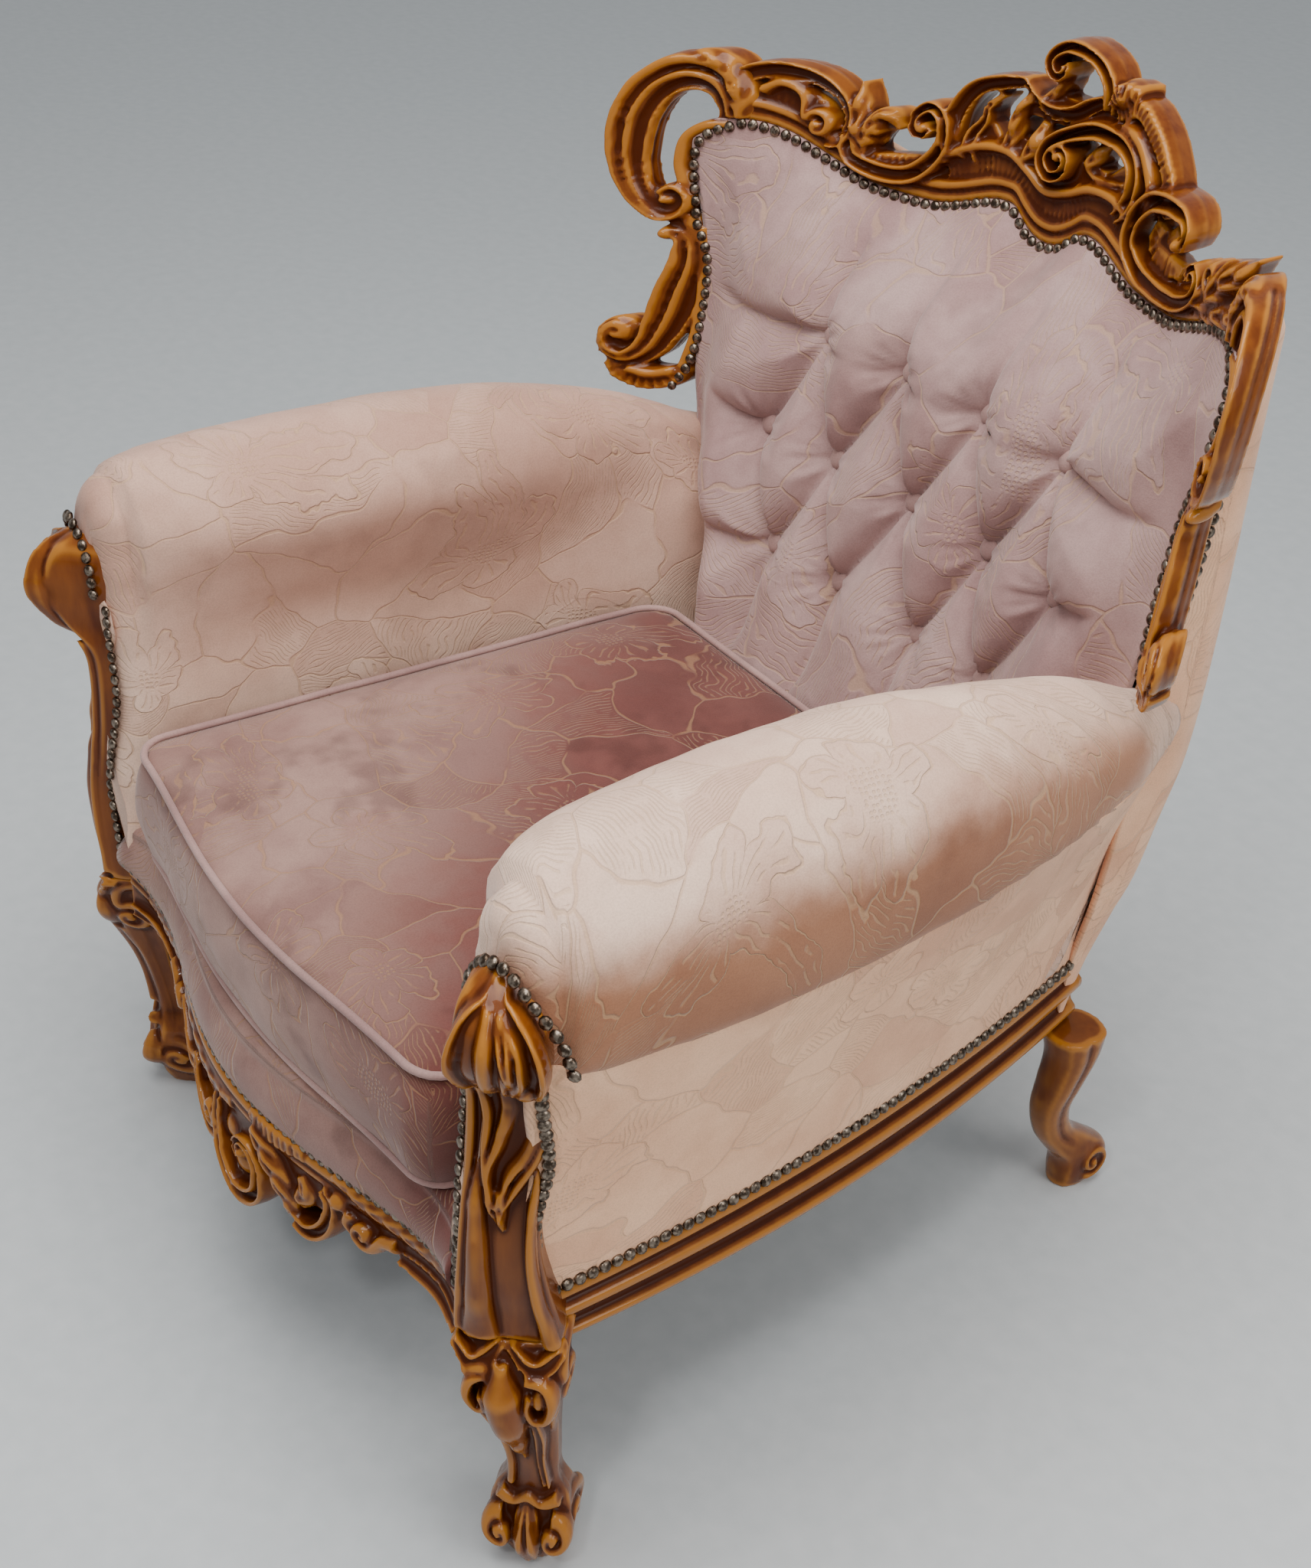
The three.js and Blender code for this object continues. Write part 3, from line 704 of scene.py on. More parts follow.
leg = [
    shaft(FRONT_LEG, 16),
    # leafy collar under the rails
    stroke([(-52, 286), (-36, 272), (-20, 278), (-6, 290)], [6, 10, 8, 5], [7, 12, 10, 7], one_sided),
    stroke([(2, 288), (18, 276), (34, 276), (52, 290)], [5, 9, 9, 6], [7, 12, 11, 7], one_sided),
    stroke([(-46, 262), (-26, 268), (-14, 262)], [6, 7, 4], [7, 9, 6]),
    # long egg down the knee, framed by an oval volute and a scroll
    stroke([(-8, 274), (-8, 245), (-6, 208), (-3, 172), (0, 146)], [8, 22, 24, 15, 4], [10, 23, 25, 16, 4]),
    stroke([(16, 262), (34, 262), (44, 244), (40, 222), (26, 216), (18, 228), (20, 246)],
           [5, 6, 7, 7, 6, 5, 4], [10, 12, 13, 13, 12, 11, 10]),
    knob(30, 240, 8, 9, STROKE_BASE, 1.5),
    stroke([(-22, 262), (-38, 256), (-46, 238), (-40, 222), (-30, 226), (-32, 240)], [5, 6, 6, 5, 5, 4],
           [9, 11, 12, 12, 12, 11]),
    stroke([(22, 212), (28, 180), (26, 140), (34, 104)], [7, 9, 8, 8], [8, 7, 5, 5], one_sided),
    stroke([(-38, 216), (-30, 180), (-28, 140), (-34, 104)], [7, 8, 8, 8], [7, 6, 5, 5]),
    *leg_cheek(1),
    *leg_cheek(-1),
    # foot: collar, side volutes and a long centre toe
    stroke([(-46, 88), (-20, 82), (0, 90), (20, 82), (46, 88)], 6, [6, 8, 9, 8, 6]),
    stroke([(0, 88), (0, 60), (0, 32), (0, 7)], [9, 15, 18, 15], [7, 14, 17, 9], leafy(1)),
    *volute(-34, 44, 19, 80, 1.2, [9, 7, 5], [8, 12, 14]),
    *volute(34, 44, 19, 100, -1.2, [9, 7, 5], [8, 12, 14]),
]
carving(leg, "front_leg_carving", on_corner(FRONT_LEG), "front_leg")


# ---------------------------------------------------------------- arm posts
# The upright above each front leg, carved from the solid and dowelled to it: a cove and
# fillets, a leaf sweeping down, and a lobed head that the front of the arm is gathered to.


def cove(s, t):
    """A hollow between two rims."""
    return rims(s) * (0.24 + 0.76 * ramp(abs(s), 0.18, 0.62))


ARM_POST = [
    (290.3, -27, 61, -50, 4), (318, -26, 55, -50, 5), (347, -24, 49, -50, 8), (390, -21, 43, -50, 9),
    (431, -20, 43, -50, 5), (471, -19, 49, -50, 0), (530, -17, 54, -50, -2), (552, -16, 52, -50, 4),
    (575, -14, 53, -50, 26), (600, -15, 57, -50, 39), (628, -14, 54, -50, 40), (650, -9, 44, -44, 30),
    (664, 4, 30, -30, 12),
]
post = [
    shaft(ARM_POST, 11),
    # lower half: a broad bright fillet on one side, a thin one on the other, dark cove between
    stroke([(-24, 293), (-23, 345), (-24, 395), (-27, 440), (-28, 478)], [18, 16, 15, 12, 4],
           [8, 12, 13, 11, 3]),
    stroke([(-45, 296), (-44, 400), (-40, 480), (-42, 556)], [5, 5, 5, 5], [3, 4, 4, 4]),
    stroke([(42, 293), (41, 350), (42, 400), (40, 450), (34, 482)], [9, 7, 7, 6, 3], [8, 10, 10, 8, 2]),
    # hollow leaf that sweeps down from the head to a curled tip
    stroke([(14, 560), (18, 528), (10, 498), (-4, 470), (-2, 440), (4, 420)], [27, 27, 25, 19, 13, 4],
           [3, 6, 9, 13, 13, 6], cove, across=20),
    stroke([(-30, 552), (-22, 520), (-22, 490), (-16, 462), (-4, 440)], [6, 6, 6, 6, 4],
           [6, 8, 10, 14, 12]),
    stroke([(38, 552), (42, 520), (36, 490), (20, 462), (6, 436)], [5, 5, 6, 6, 4], [5, 7, 9, 13, 12]),
    stroke([(2, 455), (4, 436), (8, 414)], [9, 7, 2], [16, 15, 7], leafy(2)),
    # lobed head: one small and one large leaf, with open folds
    stroke([(-16, 556), (-32, 582), (-36, 612), (-29, 636), (-10, 651)], [10, 15, 17, 14, 9],
           [4, 12, 15, 13, 8], one_sided, -14),
    stroke([(-4, 560), (-10, 590), (-9, 620), (-6, 650)], [8, 11, 12, 9], [8, 17, 19, 11], bead, -14),
    stroke([(8, 552), (14, 580), (14, 612), (8, 648)], [9, 12, 12, 9], [4, 16, 19, 11], leafy(2), -14),
    stroke([(28, 556), (36, 582), (38, 612), (31, 636), (12, 651)], [12, 16, 16, 14, 9], [3, 14, 17, 14, 8],
           cove, -14),
    stroke([(46, 570), (47, 598), (34, 632)], [4, 5, 4], [4, 9, 4]),
    stroke([(0, 562), (0, 600), (0, 640), (2, 662)], [38, 44, 38, 22], [6, 9, 9, 5], bead, -34),
    knob(30, 574, 15, 15, -14),
    stroke([(12, 548), (34, 552), (46, 568)], [6, 7, 5], [5, 9, 7]),
    stroke([(-40, 578), (-44, 604), (-34, 634)], [4, 5, 4], [5, 8, 5]),
]
carving(post, "post_carving", on_corner(ARM_POST), "arm_post")


# ---------------------------------------------------------------- front rail
# Bowed seat rail with a scrolled apron sawn and carved in one piece with it: a rocaille
# cartouche off centre and one pierced hole.  It is dowelled between the front legs.

FRONT_HALF, FRONT_Y, FRONT_BOW, FRONT_WAVE = 333.0, -430.0, 35.7, 106.1
FRONT_TOP, FRONT_DIP, FRONT_DIP_WAVE = 318.0, 21.3, 50.9


def front_y(x):
    """The seat's serpentine front, seen from above."""
    u = min(1.2, (x / FRONT_HALF) ** 2)
    return FRONT_Y - FRONT_BOW * (1 - u) + FRONT_WAVE * (1 - u) * u


def front_rail_top(x):
    """The front rail dips between the legs."""
    u = min(1.0, (x / FRONT_HALF) ** 2)
    return FRONT_TOP - FRONT_DIP * (1 - u) - FRONT_DIP_WAVE * (1 - u) * u


def fluted(count):
    """Ribs across the stroke."""
    return lambda s, t: rims(s) * (0.45 + 0.55 * abs(math.cos(math.pi * count * t)) ** 0.7)


def board(low, top, x0, x1, out, base, columns=120):
    """A plain board between two lines z(x)."""
    bm = lump((columns, 6, 1))
    for vert in bm.verts:
        u, v, w = vert.co
        x = lerp(x0, x1, u)
        vert.co = Vector((x, lerp(base, out, w), lerp(low(x), top(x), v)))
    return bm


APRON_EDGE = [
    (-372, 262), (-330, 256), (-300, 256), (-266, 252), (-236, 246), (-219, 250), (-196, 232),
    (-170, 244), (-150, 226), (-128, 218), (-104, 226), (-84, 204), (-62, 192), (-40, 196), (-24, 206),
    (-10, 181), (12, 171), (38, 178), (56, 192), (70, 212), (80, 206), (98, 193), (118, 197), (138, 206),
    (152, 226), (164, 247), (172, 236), (188, 231), (206, 238), (219, 253), (236, 246), (266, 252),
    (300, 256), (330, 256), (372, 262),
]


def apron_low(x):
    """The sawn lower edge of the apron."""
    i = 1
    while i < len(APRON_EDGE) - 1 and APRON_EDGE[i][0] < x:
        i += 1
    (xa, za), (xb, zb) = APRON_EDGE[i - 1], APRON_EDGE[i]
    return lerp(za, zb, min(1.0, max(0.0, (x - xa) / (xb - xa))))


def on_front(x, out, z):
    """Bends the flat board to the seat's front, its middle a little proud."""
    proud = 6 * max(0.0, 1 - (x / 300) ** 2)
    return x, front_y(x) - proud - out, z


APRON_BASE, BOSS_BASE = -32, -30
apron = [
    board(lambda x: max(236, apron_low(x) + 5), lambda x: front_rail_top(x) - 1, -332, 332, 0, -34, 130),
    *[stroke([(x, front_rail_top(x) - low) for x in range(-330, 331, 15)], wide, high, bead, -20)
      for low, wide, high in ((7, 5.5, 4), (19, 4.5, 3))],
    # lower scrolls from each leg to the middle
    *[stroke([(s * 330, 263), (s * 290, 262), (s * 255, 257), (s * 228, 252)], [8, 9, 9, 7],
             [8, 9, 9, 8], one_sided, APRON_BASE) for s in (-1, 1)],
    *volute(-196, 250, 15, 200, 1.1, [8, 6, 4], [10, 12, 13], base=BOSS_BASE,
            lead=[(-232, 262), (-216, 256)]),
    stroke([(-178, 262), (-160, 244), (-134, 230), (-108, 236), (-96, 252)], [7, 9, 10, 9, 6],
           [8, 10, 11, 10, 8], cove, APRON_BASE),
    stroke([(-104, 252), (-90, 224), (-66, 206), (-42, 208), (-30, 222), (-38, 236)], [7, 9, 10, 9, 7, 5],
           [9, 11, 12, 12, 11, 9], cove, APRON_BASE),
    *volute(-48, 228, 13, 300, 1.1, [6, 5, 4], [12, 13, 14], base=BOSS_BASE),
    # cartouche: ear-shaped scroll, shell ribs and hanging leaf
    stroke([(-28, 262), (-26, 232), (-14, 202), (10, 184), (36, 190), (52, 208), (54, 232), (42, 250),
            (24, 250), (16, 238), (24, 228)], [7, 9, 11, 12, 11, 10, 9, 8, 7, 5, 4],
           [9, 12, 15, 16, 16, 15, 14, 14, 14], cove, APRON_BASE),
    knob(27, 236, 7, 16, BOSS_BASE),
    knob(14, 214, 20, 7, APRON_BASE),
    knob(-4, 240, 20, 6, APRON_BASE),
    stroke([(44, 278), (60, 268), (84, 240), (96, 214), (104, 200)], [12, 15, 14, 10, 3],
           [10, 14, 14, 11, 5], leafy(4), APRON_BASE),
    stroke([(40, 290), (76, 288), (114, 290)], [8, 10, 8], [6, 8, 6], fluted(9), APRON_BASE),
    stroke([(100, 208), (118, 206), (134, 216), (146, 236), (148, 258), (138, 268)], [8, 9, 9, 8, 7, 6],
           [10, 12, 12, 11, 10, 8], cove, APRON_BASE),
    knob(158, 266, 12, 12, BOSS_BASE),
    stroke([(104, 232), (116, 248), (108, 262)], [10, 11, 6], [8, 9, 6], leafy(2), APRON_BASE),
    *volute(190, 250, 14, 340, -1.1, [8, 6, 4], [10, 12, 13], base=BOSS_BASE,
            lead=[(228, 262), (212, 256)]),
    stroke([(172, 262), (168, 250), (174, 242)], [6, 6, 4], [10, 10, 8], bead, APRON_BASE),
    stroke([(-190, 280), (-120, 274), (-60, 268), (0, 272)], [7, 8, 8, 7], [5, 7, 7, 6], leafy(7),
           APRON_BASE),
    stroke([(150, 290), (190, 282), (240, 284), (300, 290)], [6, 8, 8, 6], [5, 7, 7, 5], leafy(7),
           APRON_BASE),
    stroke([(-300, 290), (-250, 282), (-205, 282)], [6, 8, 6], [5, 7, 5], leafy(5), APRON_BASE),
]
carving(apron, "front_rail_carving", on_front, "front_rail", smoothing=1, twins=False)


# ---------------------------------------------------------------- side rails
# Beech rails from front leg to rear leg, bowed outwards, with a cove, a broad half-round and
# a bead worked along their length.

SEAT_RAIL_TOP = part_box("side_rail_left")[1][2] / MM
SIDE_RAIL_OUT = 389.0
SIDES = (("left", 1), ("right", -1))


def side_x(y):
    """The side rail's outer face, bowed inwards to the rear."""
    return SIDE_RAIL_OUT - 0.000225 * (y + 390) ** 2


RAIL_FRONT_Y, RAIL_REAR_Y, RAIL_THICK, RAIL_LOW, RAIL_ARCH = -384, 286.0, 34.0, 258, 16
RAIL_MOULDING = [
    (0.0, -9), (0.04, -4), (0.1, -1), (0.17, 1.5), (0.23, 0.5), (0.27, -5), (0.36, -7), (0.45, -4),
    (0.52, 1.5), (0.6, 4.0), (0.68, 3.0), (0.72, -2), (0.77, -4), (0.82, -1.5), (0.88, 1.5), (0.94, 1.0),
    (1.0, -1),
]


def side_rail(side):
    """A moulded board, bowed outwards and arched along its lower edge."""
    bm = lump((4, 110, 44))
    for vert in bm.verts:
        u, v, w = vert.co
        y = lerp(RAIL_FRONT_Y, RAIL_REAR_Y, v)
        low = RAIL_LOW - RAIL_ARCH * math.sin(math.pi * min(1, (y + 390) / 500) / 2)
        out = station(RAIL_MOULDING, w)[0] * ramp(u, 0.3, 1.0)
        x = side_x(y) - (1 - u) * RAIL_THICK + out
        vert.co = Vector((side * x, y, lerp(low, SEAT_RAIL_TOP - 0.3, w))) * MM
    return bm


for word, side in SIDES:
    show_wood_piece(side_rail(side), f"side_rail_moulding_{word}", f"side_rail_{word}")


# ---------------------------------------------------------------- side scrolls
# Below the crest at each side of the back: an open ear-shaped C scroll round a pierced eye,
# and a lower C scroll ending in a volute on the arm.  They are glued to the back uprights.

BACK_RADIUS, BACK_LEAN = 540.0, 0.16
BACK_Y, BACK_Y_HEIGHT = 393.0, 923.0


def back_y(x, z):
    """The show-wood's front face: leaning back and curved round the sitter."""
    curve = BACK_RADIUS - math.sqrt(BACK_RADIUS**2 - min(x * x, 270000))
    return BACK_Y + BACK_LEAN * (z - BACK_Y_HEIGHT) - curve


def scrolled(s, t):
    """A broad outer band, a groove, a bead, then a hollow inside a thin lip."""
    band = math.exp(-(((s - 0.62) / 0.36) ** 4))
    middle = 0.85 * math.exp(-(((s + 0.10) / 0.25) ** 4))
    lip = 0.55 * math.exp(-(((s + 0.90) / 0.18) ** 2))
    return rims(s) * max(0.25, band, middle, lip)


BACK_SUNK, BACK_BASE = 5.0, -20


def on_back(x, out, z):
    """Bends the flat board to the back's curve."""
    return x, back_y(x, z) + BACK_SUNK - out, z


ear = [
    stroke([(338, 962), (342, 984), (356, 1000), (378, 1002), (398, 986), (409, 958), (411, 925),
            (406, 896), (394, 872), (378, 860), (364, 866), (362, 880), (372, 888), (381, 881)],
           [13, 17, 20, 20, 17, 15, 14, 13, 11, 9, 7, 6, 5, 4],
           [18, 22, 24, 24, 22, 20, 18, 18, 20, 20, 20], scrolled, BACK_BASE, across=24, edge=0.12),
    knob(376, 876, 5, 21),
    knob(376, 875, 17, 9, BACK_BASE),
    stroke([(334, 998), (346, 1012), (364, 1018), (384, 1008)], [5, 9, 8, 3], [22, 27, 26, 18], leafy(3),
           BACK_BASE),
    stroke([(330, 962), (332, 985), (340, 1004)], [6, 10, 8], [16, 24, 26], leafy(2), BACK_BASE),
    stroke([(340, 955), (358, 951), (371, 938), (373, 914), (368, 896), (362, 880)], [5, 6, 6, 6, 6, 7],
           [12, 13, 13, 13, 13, 13], bead, BACK_BASE, edge=0.08),
    stroke([(376, 842), (366, 846), (354, 836), (351, 812), (356, 785), (362, 752), (372, 722), (388, 708),
            (403, 716), (407, 734), (398, 747), (387, 742), (388, 731), (396, 731)],
           [6, 10, 16, 18, 19, 19, 17, 13, 11, 9, 7, 6, 5, 4], [16, 18, 20, 20, 20, 20, 20, 20, 22, 22],
           scrolled, BACK_BASE, across=24, edge=0.12),
    knob(395, 735, 5, 22),
    knob(393, 732, 18, 9, BACK_BASE),
    knob(372, 842, 8, 20, BACK_BASE),
    stroke([(342, 706), (352, 690), (372, 684), (392, 690), (404, 702)], [6, 8, 8, 7, 4],
           [12, 14, 14, 12, 8], fluted(11), BACK_BASE, steps=60),
    stroke([(350, 700), (366, 695), (386, 697)], [6, 7, 5], [17, 18, 14], bead, BACK_BASE),
    stroke([(346, 852), (340, 800), (338, 750), (344, 705)], [5, 6, 6, 6], [11, 11, 11, 11], bead,
           BACK_BASE),
    stroke([(360, 860), (352, 846), (343, 836)], [9, 8, 6], [12, 12, 12], bead, BACK_BASE),
]
carving(ear, "side_scroll", on_back, "back_scroll_frame", size=2.2)


# ---------------------------------------------------------------- crest rail
# One board sawn to the back's curve and glued on top of the uprights: scrolls, leaves and
# pierced shell work carved from the solid above a moulded edge that follows the nail line.

CREST_NAIL_LINE = [(0, 917), (22, 922), (44, 938), (72, 938), (104, 927), (136, 919), (198, 920),
                   (226, 928), (256, 940), (288, 953), (318, 959), (345, 958)]


def crest_line(x):
    """Height of the crest's lower edge, which the nails follow."""
    return station(CREST_NAIL_LINE, min(345.0, abs(x)))[0]


crest = [
    # plain ground behind the carving, and the double bead along the nails
    board(lambda x: crest_line(x) + 1, lambda x: crest_line(x) + 34 - 0.00012 * x * x, -333, 333, 0,
          BACK_BASE),
    *[stroke([(x, crest_line(x) + up) for x in range(-330, 331, 15)], 6.0, high, bead, BACK_BASE)
      for up, high in ((7, 8), (19, 11))],
    # far corner shell
    stroke([(-334, 962), (-338, 985), (-334, 1004), (-306, 1014), (-272, 1011), (-247, 998), (-236, 978),
            (-240, 958), (-256, 953)], [6, 8, 9, 9, 9, 8, 7, 6], [12, 16, 19, 19, 18, 16], one_sided,
           BACK_BASE, edge=0.08),
    stroke([(-326, 978), (-300, 985), (-272, 978), (-250, 962)], [14, 17, 16, 9], [5, 7, 8, 6], fluted(15),
           BACK_BASE),
    *volute(-262, 968, 14, 160, -1.1, [6, 5, 4], [15, 17, 18],
            lead=[(-318, 992), (-300, 1002), (-280, 994)]),
    # leaf with a pointed tip, between shell and U scroll
    stroke([(-212, 948), (-224, 972), (-228, 992), (-234, 1014)], [7, 12, 8, 1.5], [16, 22, 18, 8],
           leafy(3), BACK_BASE),
    stroke([(-214, 962), (-207, 985), (-196, 990), (-186, 978)], [5, 9, 7, 4], [16, 24, 22, 12], leafy(2),
           BACK_BASE),
    *volute(-212, 966, 11, 30, 1.0, [4.5, 4, 3], [20, 20, 20]),
    # far U scroll
    stroke([(-234, 966), (-226, 946), (-196, 938), (-166, 941), (-146, 956), (-134, 978), (-138, 1000),
            (-153, 1008), (-166, 998), (-166, 984), (-156, 980), (-151, 988)],
           [7, 9, 10, 10, 10, 9, 7, 6, 5, 4], [16, 19, 20, 20, 20, 22, 22, 22], cove, BACK_BASE, edge=0.06),
    knob(-157, 988, 5, 22),
    stroke([(-205, 945), (-150, 955)], [8, 8], [14, 12], fluted(8), BACK_BASE),
    # left wing leaf over its pierced hole
    stroke([(-124, 962), (-132, 985), (-128, 1012), (-112, 1034), (-84, 1045), (-58, 1050)],
           [8, 9, 8, 8, 8, 6], [14, 18, 20, 20, 20, 16], one_sided, BACK_BASE, edge=0.08),
    stroke([(-108, 968), (-108, 990), (-100, 1006), (-99, 1018), (-88, 1032)], [9, 9, 6, 4, 3],
           [12, 14, 12, 12, 8], cove, BACK_BASE),
    stroke([(-66, 985), (-62, 1005), (-60, 1024), (-50, 1042)], [13, 9, 7, 5], [14, 18, 20, 16], leafy(3),
           BACK_BASE),
    # shell channel between the beads and the big C
    stroke([(-128, 948), (-92, 966), (-60, 972), (-34, 960), (-6, 948)], [11, 14, 15, 13, 10],
           [6, 8, 9, 9, 8], fluted(20), BACK_BASE),
    stroke([(-6, 948), (20, 952), (46, 964), (78, 966), (112, 954)], [10, 13, 15, 14, 10], [8, 9, 9, 8, 6],
           fluted(20), BACK_BASE),
    stroke([(-130, 968), (-96, 984), (-62, 988), (-34, 978), (-8, 966), (20, 972), (50, 984), (84, 984),
            (116, 972)], 6, [15, 17, 18, 18, 17, 17, 18, 17, 14], bead, BACK_BASE),
    board(lambda x: crest_line(x) + 26, lambda x: 1000, -62, 56, 6, BACK_BASE, 40),
    board(lambda x: 1022, lambda x: 1046, -62, 56, 4, BACK_BASE, 40),
    board(lambda x: 966, lambda x: 1028 - 0.9 * abs(x - 92), 56, 128, 3, BACK_BASE, 30),
    board(lambda x: 960, lambda x: 1004 - 0.9 * abs(x + 92), -122, -62, 3, BACK_BASE, 30),
    # finial hook over its hole
    stroke([(44, 1048), (44, 1066), (32, 1082), (8, 1092), (-16, 1092), (-32, 1082), (-32, 1070),
            (-22, 1064), (-15, 1070), (-18, 1077)], [8, 9, 8, 7, 7, 6.5, 6, 5, 4],
           [14, 18, 20, 22, 22, 22, 20], cove, BACK_BASE, edge=0.06),
    stroke([(-64, 1050), (-46, 1040), (-24, 1033), (2, 1037), (24, 1050), (40, 1058)], [5, 7, 8, 8, 8, 6],
           [16, 20, 22, 20, 16], one_sided, BACK_BASE),
    stroke([(-40, 1036), (-28, 1046), (-20, 1060), (-24, 1070)], [7, 7, 5, 3], [16, 16, 14, 10], leafy(2),
           BACK_BASE),
    knob(62, 1068, 14, 20, -18),
    stroke([(50, 1058), (62, 1072), (80, 1074)], [5, 9, 6], [20, 25, 16], fluted(6), BACK_BASE),
    # big C scroll with its eye and oval hole
    stroke([(84, 968), (100, 984), (106, 1004), (98, 1022), (76, 1033), (44, 1034), (14, 1024), (-8, 1010),
            (-12, 994), (0, 984), (15, 989), (18, 1002), (8, 1009), (0, 1003)],
           [6, 9, 10, 9, 9, 9, 9, 8, 7, 7, 6, 5, 4], [14, 20, 22, 22, 24, 26, 28, 28, 28, 28], cove,
           BACK_BASE, edge=0.06),
    knob(6, 1001, 5, 29),
    knob(5, 999, 17, 8, BACK_BASE),
    stroke([(30, 990), (46, 986), (70, 990), (84, 994)], [12, 10, 7, 4], [12, 12, 10, 8], cove, BACK_BASE),
    stroke([(34, 1000), (44, 1014), (52, 1022)], [10, 8, 3], [16, 14, 8], leafy(2), BACK_BASE),
    knob(-30, 1004, 12, 22, -18),
    stroke([(-42, 985), (-32, 1002), (-30, 1022)], [9, 11, 5], [18, 22, 14], leafy(2), BACK_BASE),
    # ribbed outer rim
    stroke([(56, 1052), (84, 1062), (110, 1052), (132, 1036), (150, 1016), (158, 992)], 9,
           [13, 15, 16, 15, 14, 12], fluted(22), BACK_BASE, steps=110, across=10),
    stroke([(70, 1046), (98, 1040), (118, 1024), (130, 1002), (126, 978)], [6, 7, 8, 8, 6],
           [16, 20, 20, 18, 14], bead, BACK_BASE),
    # near U volute
    stroke([(200, 982), (206, 998), (194, 1009), (168, 1010), (140, 1002), (122, 982), (120, 960),
            (138, 944), (170, 937), (206, 940), (232, 952), (240, 968), (230, 978), (220, 972), (224, 964)],
           [5, 7, 9, 10, 11, 11, 11, 11, 10, 9, 8, 6, 5, 4], [22, 24, 26, 24, 22, 20, 18, 18, 20, 20, 20],
           cove, BACK_BASE, edge=0.06),
    stroke([(150, 985), (146, 968), (165, 958), (196, 958)], [9, 10, 10, 7], [9, 9, 8, 6], fluted(10),
           BACK_BASE),
    knob(193, 984, 8, 26, BACK_BASE),
    stroke([(150, 960), (176, 985)], [10, 9], [4, 4], bead, BACK_BASE),
    # near corner leaves
    stroke([(236, 950), (262, 968), (290, 992), (318, 1010), (338, 1028)], [9, 16, 17, 11, 2],
           [14, 20, 24, 22, 10], leafy(4), BACK_BASE),
    stroke([(252, 948), (284, 962), (318, 974), (338, 984)], [8, 12, 12, 6], [12, 18, 18, 12], leafy(3),
           BACK_BASE),
    *volute(262, 984, 12, 250, -1.0, [5, 4, 3], [20, 20, 20]),
]
carving(crest, "crest_carving", on_back, "crest_rail", smoothing=3, twins=False)


# ---------------------------------------------------------------- seat deck
# Padded front border of the sprung deck, covered in the seat's velour and nailed to the
# front rail.  It shows between the cushion and the nails.


def shape(bm, place):
    """Moves each vertex; place(u, v, w) gives where it lies and where on the cloth it is."""
    cloth = bm.verts.layers.float_vector.new("cloth")
    for vert in bm.verts:
        spot, pattern = place(*vert.co)
        vert.co = Vector(spot) * MM
        vert[cloth] = Vector((*pattern, 0.0)) * MM
    return bm


LEAF_SCALE, FLOWER_SCALE, LINE_WIDTH = 13.0, 5.0, 0.0011


